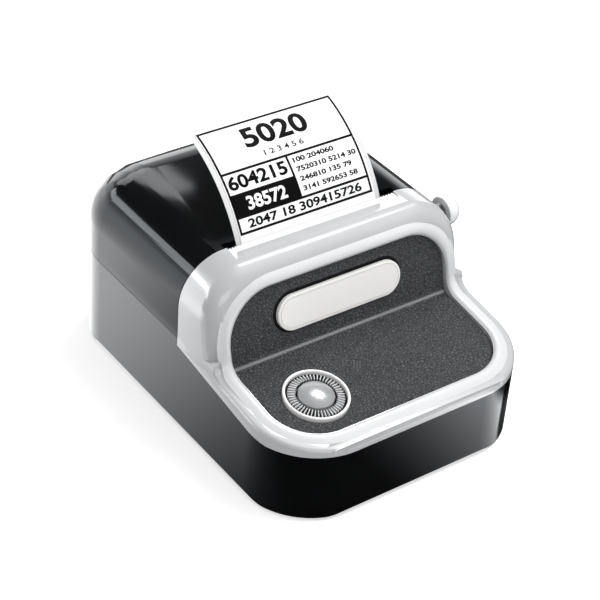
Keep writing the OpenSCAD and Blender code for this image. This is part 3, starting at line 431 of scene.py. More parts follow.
# First the five that only this script gives, then one for each slot of the CAD model.
FINISHES = {
    "ink": ink_black,
    # Polished silver lacquer on the cap.
    "silver_dome": partial(plastic, "polished_silver", "#c3c5c7", "#cfd1d3", 0.2, 4.0, 0.0008, metallic=0.55),
    # Painted shade: near-black between the serrations, where their shadow falls.
    "pit_shade": partial(plastic, "painted_shade_pit", "#060607", "#0a0a0b", 0.7, 0.3, 0.01),
    # The frame's lacquer on the bead, painted lighter than on the frame: a painted highlight along the bead.
    "bead_lit_white": partial(plastic, "white_abs_painted_highlight", "#d3d4d6", "#dbdcdd", 0.3, 3.0, 0.002, coat=1.0),
    # Steel strip in white powder coat.
    "tear_white": partial(plastic, "white_powder_coat", "#dcdddf", "#e4e5e7", 0.35, 0.6, 0.006),
    # ABS in gloss black: deep, with sharp reflections and a trace of orange peel.
    "case_black": partial(
        plastic, "gloss_black_abs", "#050506", "#0a0b0c", 0.09, 2.5, 0.002, ior=1.55, tint=COOL_GLOSS
    ),
    # Polycarbonate in smoky black: deep gloss.
    "cover_smoke": partial(
        plastic, "smoky_polycarbonate", "#060708", "#0b0c0d", 0.1, 3.0, 0.002, ior=1.37, tint=COOL_GLOSS
    ),
    # ABS with a pearl white lacquer: its flakes mirror a little, under a hard clear gloss.
    "frame_white": partial(
        plastic, "pearl_white_abs", "#c1c2c4", "#c8c9cb", 0.3, 3.0, 0.002, coat=1.0, metallic=0.15
    ),
    # Spark-eroded black ABS: fine even texture.
    "black_matte": partial(plastic, "textured_black_abs", "#17181a", "#1f2022", 0.55, 0.4, 0.02),
    # Moulded rubber: matt, slightly grey.
    "rubber_black": partial(plastic, "matt_rubber", "#1c1c1e", "#252527", 0.8, 0.5, 0.02),
    "leather": leather,
    "pearl": pearl,
    # Gloss white ABS.
    "bezel_white": partial(plastic, "gloss_white_abs", "#efefef", "#f6f6f6", 0.12, 2.0, 0.002, coat=0.5),
    # Bright silver lacquer on the button's ring.
    "silver": partial(plastic, "silver_lacquer", "#dedfe1", "#ececed", 0.3, 0.3, 0.003, metallic=0.25),
    # Rolled stainless sheet.
    "steel": partial(metal, "stainless_steel", "#a5a7aa", "#c3c5c8", 0.3),
    # Drawn spring wire.
    "spring_steel": partial(metal, "spring_wire", "#8c8e91", "#a6a8ab", 0.3),
    # Clear-coated white acrylic ball.
    "knob": partial(plastic, "white_acrylic", "#e6e7e9", "#eeeeef", 0.08, 2.0, 0.001, ior=1.49, coat=1.0),
    # Extruded aluminium with its draw lines.
    "aluminium": partial(metal, "extruded_aluminium", "#b0b2b5", "#c6c8ca", 0.4),
    # Fired alumina with a glassy glaze.
    "ceramic": partial(plastic, "glazed_alumina", "#d4cfc0", "#ddd9cc", 0.2, 1.0, 0.002, ior=1.7),
    # Polyimide film: amber, glossy.
    "film": partial(plastic, "polyimide_film", "#9a561e", "#b26c2c", 0.3, 1.0, 0.005),
    # Natural nylon: creamy, half matt.
    "nylon": partial(plastic, "natural_nylon", "#dcd6c6", "#e7e2d5", 0.45, 0.7, 0.01),
    "board_green": board_green,
    # Glass-filled black nylon.
    "switch_black": partial(plastic, "switch_nylon", "#26272a", "#303134", 0.5, 0.3, 0.01),
    # PVC wire insulation.
    "lead_red": partial(plastic, "red_pvc", "#8e1410", "#a21c17", 0.4, 0.5, 0.005),
    # Heat-shrunk film round the cells, faintly wrinkled.
    "cell_wrap": partial(plastic, "blue_shrink_film", "#2f5fa2", "#3c6fb5", 0.25, 1.5, 0.04),
    # Wound grey-brown board with spiral fibres.
    "card": partial(paper, "wound_board", "#8a6a44", "#b08a5b", 0.85),
    # Coated thermal label: bright white, smooth.
    "label_paper": partial(paper, "thermal_label", "#fafafa", "#fdfdfd", 0.5),
    # Glassine liner: light grey, a little glossy.
    "liner_paper": partial(paper, "glassine_liner", "#d2d2d3", "#dcdcdd", 0.4),
    "roll_paper": wound_paper,
    # Zinc-plated steel can.
    "motor_grey": partial(metal, "zinc_plate", "#6c6e72", "#85878b", 0.35),
}
made_finishes = {}


def finish_of(slot):
    """The finish of a slot, made when it is first asked for."""
    if slot not in made_finishes:
        made_finishes[slot] = FINISHES[slot]()
    return made_finishes[slot]


# ---------- settings ----------


class PrinterSizes(bpy.types.PropertyGroup):
    """Sizes that only this script gives"""

    bead_width: bpy.props.FloatProperty(
        name="Bead width", description="White bead round the panel", default=5.1 * MM, unit="LENGTH"
    )
    serrations: bpy.props.IntProperty(
        name="Serrations", description="Serrations round the button's ring", default=48, min=12
    )
    stroke: bpy.props.FloatProperty(
        name="Print stroke", description="Width of the printed lines", default=0.95 * MM, unit="LENGTH"
    )


class PrinterLook(bpy.types.PropertyGroup):
    """Light and floor"""

    floor: bpy.props.FloatVectorProperty(
        name="Floor", description="Colour of the floor", subtype="COLOR", size=4, default=linear("#f4f4f4")
    )
    floor_lift: bpy.props.FloatProperty(name="Floor lift", description="Glow of the lit floor", default=0.55)
    pool: bpy.props.FloatProperty(
        name="Pool", description="Glow of the floor behind, seen in gloss", default=2.8
    )
    side_pool: bpy.props.FloatProperty(
        name="Side pool", description="Glow of the floor on the right, seen in gloss", default=3.0
    )
    horizon: bpy.props.FloatProperty(
        name="Horizon", description="Glow of the horizon, seen in gloss", default=3.0
    )
    room_light: bpy.props.FloatProperty(
        name="Room light", description="Even light from all round", default=0.6
    )
    room_in_gloss: bpy.props.FloatProperty(
        name="Room in gloss", description="Glow of the room, seen in gloss", default=0.1
    )
    card_power: bpy.props.FloatProperty(
        name="Card light", description="Power of the card behind the cover", default=0.12, unit="POWER"
    )
    patch_power: bpy.props.FloatProperty(
        name="Patch light", description="Power of the small light over the button", default=1.2, unit="POWER"
    )
    key_power: bpy.props.FloatProperty(
        name="Key light", description="Power of the key light", default=6.5, unit="POWER"
    )
    strip_power: bpy.props.FloatProperty(
        name="Strip light", description="Power of the strip on the left", default=3.0, unit="POWER"
    )
    fill_power: bpy.props.FloatProperty(
        name="Fill light", description="Power of the light in front", default=0.6, unit="POWER"
    )


# ---------- pieces ----------


class PRINTER_OT_finishes(bpy.types.Operator):
    """Gives every CAD node the finish of its material slot"""

    bl_idname = "printer.finishes"
    bl_label = "Finishes of the CAD nodes"

    def execute(self, context):
        for part in frame["record"]["subparts"]:
            node = NODES[part["node"]]
            node.data.materials.clear()
            coated = part["node"] == "tear_bar"
            node.data.materials.append(finish_of("tear_white" if coated else part["material_slot"]))
        return {"FINISHED"}


def fold_gain(fold):
    """How much shorter a panel's length is round its fold than along the two straight lines."""
    return 2 * fold * math.tan(FOLD_TURN / 2) - fold * FOLD_TURN


def skin(x, s, h, fold):
    """A point of a flat piece (x across, s up, h out, in mm) laid on the seat, fold, backrest and brow."""
    arc = fold * FOLD_TURN
    reach = fold * math.tan(FOLD_TURN / 2)
    seat_dir = (-math.cos(math.radians(SEAT_SLOPE)), -math.sin(math.radians(SEAT_SLOPE)))
    back_dir = (math.sin(math.radians(BACK_LEAN)), math.cos(math.radians(BACK_LEAN)))
    back_angle = 90 - BACK_LEAN
    brow_s = arc / 2 + BROW_FROM - reach
    if s <= -arc / 2:
        t, n = -s - arc / 2 + reach, left_of(SEAT_SLOPE)
        y, z = (CREASE[i] + seat_dir[i] * t + n[i] * h for i in (0, 1))
    elif s < arc / 2:
        n = left_of(SEAT_SLOPE)
        centre = [CREASE[i] + seat_dir[i] * reach + n[i] * fold for i in (0, 1)]
        n = left_of(SEAT_SLOPE + math.degrees((s + arc / 2) / fold))
        y, z = (centre[i] - n[i] * (fold - h) for i in (0, 1))
    elif s <= brow_s:
        t, n = s - arc / 2 + reach, left_of(back_angle)
        y, z = (CREASE[i] + back_dir[i] * t + n[i] * h for i in (0, 1))
    else:
        n = left_of(back_angle)
        centre = [CREASE[i] + back_dir[i] * BROW_FROM - n[i] * BROW_R for i in (0, 1)]
        turn = math.degrees((s - brow_s) / BROW_R)
        # Past the level it runs on straight to the rear.
        past = max(0.0, turn - back_angle) * math.radians(BROW_R)
        n = left_of(max(0.0, back_angle - turn))
        y, z = (centre[i] + n[i] * (BROW_R + h) for i in (0, 1))
        y += past
    return Vector((x * MM, y * MM, z * MM))


def lay(o, fold):
    """Moves every point of a flat piece onto the skin."""
    for v in o.data.vertices:
        v.co = skin(v.co.x / MM, v.co.y / MM, v.co.z / MM, fold)
    recalculate(o, 0.0005)


def cut_across(o, axis, places):
    """Cuts the mesh across an axis at each place, in mm."""
    with editing(o):
        for at in places:
            point = [0.0, 0.0, 0.0]
            normal = [0.0, 0.0, 0.0]
            point[axis], normal[axis] = at * MM, 1.0
            bpy.ops.mesh.select_all(action="SELECT")
            bpy.ops.mesh.bisect(plane_co=point, plane_no=normal)


def fold_cuts(fold):
    """Places of the cuts that a flat piece needs to bend round the fold."""
    return [fold * FOLD_TURN * (i / 14 - 0.5) for i in range(15)]


def brow_cuts(fold):
    """The same for the brow."""
    start = fold * FOLD_TURN / 2 + BROW_FROM - fold * math.tan(FOLD_TURN / 2)
    return steps_along(start, 0.9, 14)


def steps_along(start, step, count):
    """A number of places, a step apart."""
    return [start + step * i for i in range(count)]


def steps_between(low, high, step):
    """The places a step apart that lie between two ends."""
    return [low + step * i for i in range(1, int((high - low) / step) + 1)]


def flat_sheet(w, low, high, radius, height, segments=14):
    """A flat face with rounded corners, from low to high, in mm."""
    deselect()
    bpy.ops.mesh.primitive_plane_add(size=1, location=(0, (low + high) / 2 * MM, height * MM))
    made = bpy.context.object
    made.scale = (w * MM, (high - low) * MM, 1)
    set_place(made)
    with editing(made):
        bpy.ops.mesh.bevel(offset=radius * MM, segments=segments, affect="VERTICES")
    return made


def flat_plate(w, low, high, radius, bottom, top, segments=14):
    """A flat piece with rounded corners, from low to high and from bottom to top, in mm."""
    made = flat_sheet(w, low, high, radius, bottom, segments)
    modify(made, "SOLIDIFY", thickness=(top - bottom) * MM, offset=1)
    return made


def round_edges(o, test, width, segments):
    """Rounds the edges that pass the test."""
    with editing(o):
        bpy.ops.mesh.select_mode(type="EDGE")
        bpy.ops.mesh.select_all(action="DESELECT")
        shape = bmesh.from_edit_mesh(o.data)
        for e in shape.edges:
            e.select = len(e.link_faces) == 2 and test(e)
        bmesh.update_edit_mesh(o.data)
        bpy.ops.mesh.bevel(offset=width * MM, segments=segments, affect="EDGES", clamp_overlap=False)
        bpy.ops.mesh.select_mode(type="VERT")


def top_edge(e, height):
    """Whether an edge lies at a height in mm and joins a level face to a standing one."""
    a, b = (f.normal.z for f in e.link_faces)
    level = all(abs(v.co.z - height * MM) < 1e-6 for v in e.verts)
    return level and max(a, b) > 0.9 and min(a, b) < 0.5


def lathe(profile, place, steps=96):
    """Turns a profile of (radius, height) in mm round z, closes an open one, and puts it at its place."""
    deselect()
    radius, height = profile[0]
    bpy.ops.mesh.primitive_circle_add(vertices=steps, radius=radius * MM, location=(0, 0, height * MM))
    made = bpy.context.object
    set_place(made)
    with editing(made):
        for (r0, z0), (r1, z1) in zip(profile, profile[1:]):
            bpy.ops.mesh.extrude_region()
            bpy.ops.transform.resize(value=(r1 / r0, r1 / r0, 1), center_override=(0, 0, 0))
            bpy.ops.transform.translate(value=(0, 0, (z1 - z0) * MM))
        if profile[0] != profile[-1]:
            bpy.ops.mesh.edge_face_add()
            bpy.ops.mesh.select_non_manifold(extend=False)
            bpy.ops.mesh.edge_face_add()
    recalculate(made, 0.0005)
    made.data.transform(place)
    return made


def arc_points(cx, cz, radius, start, end, steps):
    """Profile points on an arc, angles in degrees from the outward direction."""
    return [
        (cx + radius * math.cos(math.radians(a)), cz + radius * math.sin(math.radians(a)))
        for a in (start + (end - start) * i / steps for i in range(steps + 1))
    ]


class PRINTER_OT_panel(bpy.types.Operator):
    """Models the leather panel as one bent sheet, on a black sheet that shows round its edges as painted
    shade
    """

    bl_idname = "printer.panel"
    bl_label = "Leather panel"

    def execute(self, context):
        gain = fold_gain(PANEL_FOLD)
        low, high = gain / 2 - PANEL_SEAT, PANEL_BACK - gain / 2
        panel = flat_plate(PANEL_W, low, high, PANEL_R, -LEATHER_T, 0)
        self.cut_openings(panel, gain / 2)
        round_edges(panel, lambda e: top_edge(e, 0), 0.45, 3)
        cut_across(panel, 0, steps_between(-PANEL_W / 2, PANEL_W / 2, CUT_STEP))
        cut_across(panel, 1, fold_cuts(PANEL_FOLD) + steps_between(low, high, CUT_STEP))
        lay(panel, PANEL_FOLD)
        smooth(panel, 40)
        dress(panel, "leather_cover", "case", "leather", ["leather_panel"])
        # The black sheet under the panel shows in the gap round its edges and round the plate: painted shade.
        rim, top, bottom = 0.25, -LEATHER_T - 0.05, -LEATHER_T - 0.15
        shade_sheet = flat_plate(PANEL_W + 2 * rim, low - rim, high + rim, PANEL_R + rim, bottom, top)
        cut_across(shade_sheet, 1, fold_cuts(PANEL_FOLD))
        lay(shade_sheet, PANEL_FOLD)
        smooth(shade_sheet)
        dress(shade_sheet, "panel_shade_sheet", "case", "rubber_black")
        return {"FINISHED"}

    def cut_openings(self, panel, shift):
        """Openings for the button and the plate, the plate's a little larger, most at its top and left, where
        the black below shows as a painted shadow.
        """
        deselect()
        place = (BUTTON_X * MM, (shift - BUTTON_OUT) * MM, 0)
        bpy.ops.mesh.primitive_cylinder_add(
            vertices=96, radius=BUTTON_HOLE_R * MM, depth=20 * MM, location=place
        )
        button_hole = bpy.context.object
        w, h, up = PLATE
        # Wider at the top and left: the black sheet below shows there as a painted shadow.
        side, below, above, to_left = 1.2, 0.7, 1.7, 0.5
        low, high = up - shift - h / 2 - below, up - shift + h / 2 + above
        plate_hole = flat_plate(w + 2 * side, low, high, (high - low) / 2 - 0.02, -5, 5)
        plate_hole.data.transform(Matrix.Translation((-to_left * MM, 0, 0)))
        combine(panel, "DIFFERENCE", button_hole, plate_hole)


class PRINTER_OT_rim(bpy.types.Operator):
    """Models the raised bead round the panel, and the frame with its soft shoulders and rounded edge"""

    bl_idname = "printer.rim"
    bl_label = "Frame and bead"

    def execute(self, context):
        bead = self.bead(context.scene.printer_sizes.bead_width / MM)
        smooth(bead, 40)
        # The bead's lighter lacquer is a painted highlight.
        dress(bead, "rim_bead", "case", "frame_white", finish="bead_lit_white")
        white_frame = copy_node("front_frame")
        combine(white_frame, "INTERSECT", self.shoulders())
        with editing(white_frame):
            bpy.ops.mesh.dissolve_limited(angle_limit=math.radians(0.3))
        round_edges(white_frame, self.outer_edge, EDGE_R, 4)
        recalculate(white_frame, 0.002)
        smooth(white_frame, 30)
        dress(white_frame, "white_frame", "case", "frame_white", ["front_frame"])
        return {"FINISHED"}

    def bead(self, width):
        """A soft roll round the panel: its section from outer foot to inner edge, inset ring by ring."""
        # The crest and its fall to the foot, and the round inner edge, a little outside the panel's.
        top, drop, inner_r, start, slope_steps = 2.1, 1.2, 1.75, 0.35, 9
        crest = start + inner_r + 0.5
        foot = start + width + 1.5
        section = []
        for i in range(slope_steps, 0, -1):
            t = i / slope_steps
            section.append((crest + (foot - crest) * t, top - drop * t * t * (3 - 2 * t)))
        for a in range(90, -1, -15):
            turn = math.radians(a)
            section.append((start + inner_r * (1 - math.cos(turn)), top - inner_r * (1 - math.sin(turn))))
        gain = fold_gain(RIM_FOLD)
        low, high = gain / 2 - PANEL_SEAT, PANEL_BACK - gain / 2
        bead = flat_sheet(PANEL_W + 2 * foot, low - foot, high + foot, PANEL_R + foot, section[0][1])
        underside = -3.0
        with editing(bead):
            for (d0, h0), (d1, h1) in zip(section, section[1:]):
                bpy.ops.mesh.inset(thickness=(d0 - d1) * MM, depth=(h1 - h0) * MM)
            bpy.ops.mesh.delete(type="FACE")
            bpy.ops.mesh.select_all(action="SELECT")
            bpy.ops.mesh.extrude_region()
            bpy.ops.transform.resize(value=(1, 1, 0), center_override=(0, 0, underside * MM))
        recalculate(bead, 0.0005)
        cut_across(bead, 1, fold_cuts(RIM_FOLD) + brow_cuts(RIM_FOLD))
        # Up the backrest it is narrower, because the shoulder and the brow fall away there.
        narrower, blend_from, blend_to = 0.2, -2.0, 6.0
        for v in bead.data.vertices:
            past_side = max(abs(v.co.x) - PANEL_W / 2 * MM, 0)
            past_top = max(v.co.y - high * MM, 0)
            upward = (v.co.y / MM - blend_from) / (blend_to - blend_from)
            share = narrower * min(max(upward, 0), 1)
            v.co.x -= math.copysign(past_side * share, v.co.x)
            v.co.y -= past_top * share
        lay(bead, RIM_FOLD)
        return bead

    def shoulders(self):
        """The form that the frame keeps to: a leaning block with a round front edge, and the seat's slab."""
        lean = math.radians(BACK_LEAN)
        block = flat_plate(BODY[0] + 0.1, -30, BODY[2] + 0.02, ARCH_R, -90, 0, 24)
        round_edges(block, lambda e: top_edge(e, 0), SHOULDER_R, 10)
        for v in block.data.vertices:
            x, up, out = v.co / MM
            back = math.tan(lean) * (up - CREASE[1]) - (RIM_RISE + 0.02) / math.cos(lean)
            v.co = Vector((x, CREASE[0] + back - out, up)) * MM
        recalculate(block, 0.0005)
        arc = RIM_FOLD * FOLD_TURN
        slab = flat_plate(BODY[0] + 2, -80, arc / 2, 0.02, -25, RIM_RISE + 0.05, 1)
        cut_across(slab, 1, fold_cuts(RIM_FOLD)[:-1])
        lay(slab, RIM_FOLD)
        combine(block, "UNION", slab)
        return block

    def outer_edge(self, e):
        """An edge between the frame's face and the body's side, below the ledge and behind the lip."""
        if e.calc_face_angle() < math.radians(35):
            return False
        flatter = max((f.normal for f in e.link_faces), key=lambda n: abs(n.z))
        v = (e.verts[0].co + e.verts[1].co) / 2 / MM
        ledge, lip, rear = 44, -78.4, -6
        below_ledge = max(q.co.z for q in e.verts) < ledge * MM
        return flatter.z > 0.15 and lip < v.y < rear and plan_distance(v.x, v.y) < 0.3 and below_ledge


def plan_distance(x, y):
    """How far a point is inside the body's outline seen from above."""
    dx, dy = abs(x) - (BODY[0] / 2 - PLAN_R), abs(y) - (BODY[1] / 2 - PLAN_R)
    return PLAN_R - math.hypot(max(dx, 0), max(dy, 0)) - min(max(dx, dy), 0)


class PRINTER_OT_plate(bpy.types.Operator):
    """Models the name plate: a bare capsule with a fine line inside its edge"""

    bl_idname = "printer.plate"
    bl_label = "Name plate"

    def execute(self, context):
        w, h, up = PLATE
        plate = flat_plate(w, up - h / 2, up + h / 2, h / 2 - 0.02, -0.75, PLATE_RISE, 20)
        round_edges(plate, lambda e: top_edge(e, PLATE_RISE), 0.35, 3)
        line, core = (
            flat_plate(w - 2 * t, up - h / 2 + t, up + h / 2 - t, h / 2 - t - 0.05, bottom, top, 20)
            for t, bottom, top in ((1.0, 0.5, 2), (1.35, 0, 3))
        )
        combine(line, "DIFFERENCE", core)
        combine(plate, "DIFFERENCE", line)
        plate.data.transform(BACK)
        recalculate(plate, 0.0005)
        smooth(plate, 30)
        dress(plate, "plate", "case", "pearl", ["name_plate"])
        return {"FINISHED"}


class PRINTER_OT_button(bpy.types.Operator):
    """Models the power button: white ring, serrated silver ring and domed cap"""

    bl_idname = "printer.button"
    bl_label = "Power button"

    def execute(self, context):
        # A half-round lip, a floor under the serrations and a bore for the cap.
        lip_x, lip_z, lip_r, bore, foot = 12.2, 0.9, 0.6, 7.7, -1.7
        ring = lathe(
            [(lip_x + lip_r, foot)]
            + arc_points(lip_x, lip_z, lip_r, 0, 180, 10)
            + [(lip_x - lip_r, -1.0), (bore, -1.0), (bore, foot), (lip_x + lip_r, foot)],
            BUTTON,
        )
        smooth(ring, 40)
        dress(ring, "white_ring", "case", "bezel_white", ["button_bezel"])
        # A near-black well under the serrations: painted shade between them.
        well = lathe([(11.55, -0.95), (11.55, -0.2), (7.75, 0.1), (7.75, -0.95), (11.55, -0.95)], BUTTON)
        dress(well, "serration_well", "case", "black_matte", finish="pit_shade")
        bars = self.bars(context.scene.printer_sizes.serrations)
        bars.data.transform(BUTTON)
        dress(bars, "serrated_ring", "case", "silver", ["knurled_ring"])
        # A pin and a flange below, then the wall, its rounded edge and the shallow dome.
        cap_r, wall, edge_r, top, camber = 6.9, 0.9, 0.25, 2.2, 1.0
        ball = (cap_r**2 + camber**2) / (2 * camber)
        dome = lathe(
            [(1.6, -5.9), (1.6, -5.3), (8.6, -5.3), (8.6, -4.3), (cap_r, -4.3), (cap_r, wall)]
            + [(cap_r - edge_r * (1 - math.cos(a)), wall + edge_r * math.sin(a)) for a in (0.5, 1.0, 1.4)]
            + [(r, top - ball + math.sqrt(ball**2 - r**2)) for r in (6.2, 5.4, 4.5, 3.6, 2.7, 1.8, 1.0, 0.4)],
            BUTTON,
        )
        smooth(dome, 30)
        dress(dome, "button_cap", "power_button", "silver", ["power_button"], finish="silver_dome")
        return {"FINISHED"}

    def bars(self, count):
        """The serrations: one bar, narrow and high at its inner end, copied round the ring."""
        inner, outer, foot = 7.85, 10.75, -0.2
        deselect()
        bpy.ops.mesh.primitive_cube_add(size=1, location=(0, 0, 0))
        bar = bpy.context.object
        for v in bar.data.vertices:
            reach, top, half = (outer, 0.7, 0.27) if v.co.x > 0 else (inner, 1.05, 0.19)
            high, taper = (top, 0.8) if v.co.z > 0 else (foot, 1.0)
            v.co = Vector((reach, math.copysign(half * taper, v.co.y), high)) * MM
        with editing(bar):
            bpy.ops.mesh.bevel(offset=0.12 * MM, segments=2, affect="EDGES")
        pieces = [bar]
        for i in range(1, count):
            piece = bpy.data.objects.new("bar", bar.data.copy())
            bpy.context.scene.collection.objects.link(piece)
            piece.data.transform(Matrix.Rotation(2 * math.pi * i / count, 4, "Z"))
            pieces.append(piece)
        choose(*pieces)
        bpy.ops.object.join()
        smooth(bar, 30)
        return bar


class PRINTER_OT_knob(bpy.types.Operator):
    """Models the release knob: a ball with a flattened outer end on its stem"""

    bl_idname = "printer.knob"
    bl_label = "Release knob"

    def execute(self, context):
        outwards = Matrix.Translation(Vector(KNOB) * MM) @ Matrix.Rotation(math.pi / 2, 4, "Y")
        stem_r, ball_r = 2.2, 6.2
        stem = [(stem_r, -10.4), (stem_r, -1.5), (6.0, -1.5)]
        knob = lathe(stem + arc_points(0, 0, ball_r, -11, 84, 18), outwards, 64)
        smooth(knob, 40)
        dress(knob, "knob_ball", "release_knob", "knob", ["release_knob"])
        return {"FINISHED"}


class PRINTER_OT_springs(bpy.types.Operator):
    """Copies the coil springs of the CAD model in spring wire, riding with the case"""

    bl_idname = "printer.springs"
    bl_label = "Springs"

    def execute(self, context):
        out_of_seat = BUTTON.to_3x3() @ Vector((0, 0, 1))
        to_platen = Matrix.Rotation(math.radians(PRINT_ANGLE - 90), 3, "X") @ Vector((0, 1, 0))
        # Each spring with the joint that presses it, the way to its moving end, and its travel in mm.
        springs = (
            ("button_spring", "button_press", out_of_seat, BUTTON_TRAVEL),
            ("release_spring", "knob_press", Vector((1, 0, 0)), KNOB_TRAVEL),
            ("head_springs", "head_pivot", to_platen, HEAD_SPRING_TRAVEL),
        )
        for node, joint, way, travel in springs:
            coil = copy_node(node)
            smooth(coil, 40)
            dress(coil, node + "_wound", "case", "spring_steel", [node])
            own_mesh(coil)
        return {"FINISHED"}


class PRINTER_OT_cover(bpy.types.Operator):
    """Models the roll cover: the CAD shell with its rear corners smoothly rounded"""

    bl_idname = "printer.cover"
    bl_label = "Roll cover"

    def execute(self, context):
        cover = copy_node("roll_cover")
        combine(cover, "INTERSECT", self.smooth_body(0.03))
        recalculate(cover, 0.0005)
        smooth(cover, 25)
        dress(cover, "smoky_cover", "roll_cover", "cover_smoke", ["roll_cover"])
        return {"FINISHED"}

    def smooth_body(self, inset):
        """The body's outer form: its plan raised over an edge whose radius grows towards the rear."""
        rings = 20
        deselect()
        bpy.ops.mesh.primitive_plane_add(size=1, location=(0, 0, 0))
        body = bpy.context.object
        body.scale = ((BODY[0] - 2 * inset) * MM, (BODY[1] - 2 * inset) * MM, 1)
        set_place(body)
        with editing(body):
            bpy.ops.mesh.bevel(offset=(PLAN_R - inset) * MM, segments=24, affect="VERTICES")
            for _ in range(rings + 1):
                bpy.ops.mesh.extrude_region()
                bpy.ops.transform.translate(value=(0, 0, MM))
        # The first ring goes to the foot, and the others round the edge up to the top.
        foot = 40.0
        for v in body.data.vertices:
            x, y, ring = v.co.x / MM, v.co.y / MM, round(v.co.z / MM)
            out_x, out_y = abs(x) - (BODY[0] / 2 - PLAN_R), abs(y) - (BODY[1] / 2 - PLAN_R)
            rearward = max(out_y, 0) / math.hypot(max(out_x, 1e-9), max(out_y, 0)) if y > 0 else 0.0
            edge = ARCH_R + (REAR_R - ARCH_R) * rearward**2 - inset
            a = math.radians(90) * (ring - 1) / rings
            back = edge * (1 - math.cos(a)) if ring else 0.0
            length = math.hypot(max(out_x, 0), max(out_y, 0))
            x -= math.copysign(back * max(out_x, 0) / length, x)
            y -= math.copysign(back * max(out_y, 0) / length, y)
            z = BODY[2] - inset - edge * (1 - math.sin(a)) if ring else foot
            v.co = Vector((x, y, z)) * MM
        recalculate(body, 0.0001)
        return body


class PRINTER_OT_label(bpy.types.Operator):
    """Models the liner and the label as curled paper and lays the thermal print on the label"""

    bl_idname = "printer.label"
    bl_label = "Printed label"

    def execute(self, context):
        w, low, high, thickness = LINER
        liner = flat_plate(w, low, high, 0.02, 0, thickness, 1)
        self.curl(liner)
        dress(liner, "liner_strip", "roll_cover", "liner_paper", ["label_liner"])
        label = flat_plate(*LABEL, LABEL_BACK, LABEL_FACE, 6)
        self.curl(label)
        dress(label, "label_sheet", "roll_cover", "label_paper", ["printed_label"])
        self.ink(context.scene.printer_sizes.stroke / MM)
        return {"FINISHED"}

    def curl(self, o):
        """Bends flat paper: round the platen, up the throat and over the free curl."""
        cut_across(o, 1, steps_along(-14, 0.45, 17) + steps_along(-6, 1.2, 47))
        throat = math.radians(PRINT_ANGLE - EXIT_ANGLE) * THROAT_R
        centre = [EXIT[i] - CURL_R * left_of(EXIT_ANGLE)[i] for i in (0, 1)]
        throat_centre = [EXIT[i] - THROAT_R * left_of(EXIT_ANGLE)[i] for i in (0, 1)]
        for v in o.data.vertices:
            s, h = v.co.y / MM, v.co.z / MM
            if s >= 0:
                c, r, n = centre, CURL_R, left_of(EXIT_ANGLE - math.degrees(s / CURL_R))
            elif s >= -throat:
                c, r, n = throat_centre, THROAT_R, left_of(EXIT_ANGLE - math.degrees(s / THROAT_R))
            else:
                c, r, n = PLATEN, WRAP_R, left_of(PRINT_ANGLE - math.degrees((s + throat) / WRAP_R))
            v.co = Vector((v.co.x, (c[0] + (r + h) * n[0]) * MM, (c[1] + (r + h) * n[1]) * MM))
        recalculate(o, 0.0002)
        smooth(o, 30)

    def bar(self, left, right, low, high):
        """A printed rectangle, flat."""
        made = flat_plate(right - left, low, high, 0.02, LABEL_FACE, LABEL_FACE + INK_T, 1)
        made.data.transform(Matrix.Translation(((left + right) / 2 * MM, 0, 0)))
        return made

    def number(self, digits, left, right, low, high, weight, lift=0.0):
        """Printed digits that fill a box, flat."""
        deselect()
        bpy.ops.object.text_add()
        made = bpy.context.object
        made.data.body = digits
        made.data.offset = weight
        made.data.resolution_u = 4
        bpy.ops.object.convert(target="MESH")
        made = bpy.context.object
        xs, ys = [[v.co[i] for v in made.data.vertices] for i in (0, 1)]
        scale_x = (right - left) / (max(xs) - min(xs)) * MM
        scale_y = (high - low) / (max(ys) - min(ys)) * MM
        for v in made.data.vertices:
            v.co.x = left * MM + (v.co.x - min(xs)) * scale_x
            v.co.y = low * MM + (v.co.y - min(ys)) * scale_y
            v.co.z = (LABEL_FACE + lift) * MM
        recalculate(made, 0.005)
        modify(made, "SOLIDIFY", thickness=INK_T * MM, offset=1)
        return made

    def ink(self, t):
        """The print: a frame, two lines across and one between them, a black block, and plain numbers."""
        left, right, low, high = -30.9, 30.5, 2.2, 44.6
        upper, lower, middle, block = 25.5, 8.6, -1.2, 17.3
        black = [
            self.bar(left, right, low, low + t),
            self.bar(left, right, high - t, high),
            self.bar(left, left + t, low, high),
            self.bar(right - t, right, low, high),
            self.bar(left, right, upper - t / 2, upper + t / 2),
            self.bar(left, right, lower - t / 2, lower + t / 2),
            self.bar(middle - t / 2, middle + t / 2, lower, upper),
            self.bar(left, middle, lower, block),
            self.number("5020", -14.6, 14.6, 32.6, 41.4, 0.03),
            self.number("1 2 3 4 5 6", -9.0, 9.0, 28.0, 30.3, 0.02),
            self.number("604215", -29.2, -2.8, 18.7, 24.2, 0.03),
            self.number("2047 18 309415726", -26.4, 26.0, 3.9, 7.4, 0.03),
        ]
        pitch = 3.75
        rows = (
            ("100 204060", 19.8),
            ("7520310 5214 30", 28.6),
            ("246810 135 79", 25.0),
            ("3141 592653 58", 26.4),
        )
        for i, (digits, end) in enumerate(rows):
            black.append(self.number(digits, 0.9, end, 21.9 - pitch * i, 24.0 - pitch * i, 0.04))
        print_ink = self.joined(black)
        dress(print_ink, "thermal_print", "roll_cover", "label_paper", finish="ink")
        white = self.joined([self.number("38572", -24.4, -6.6, 10.2, 15.5, 0.03, 0.03)])
        dress(white, "unprinted_digits", "roll_cover", "label_paper")

    def joined(self, pieces):
        """The printed pieces as one, curled as the label is."""
        choose(*pieces)
        bpy.ops.object.join()
        made = bpy.context.object
        made.data.name = made.name = "print"
        self.curl(made)
        return made


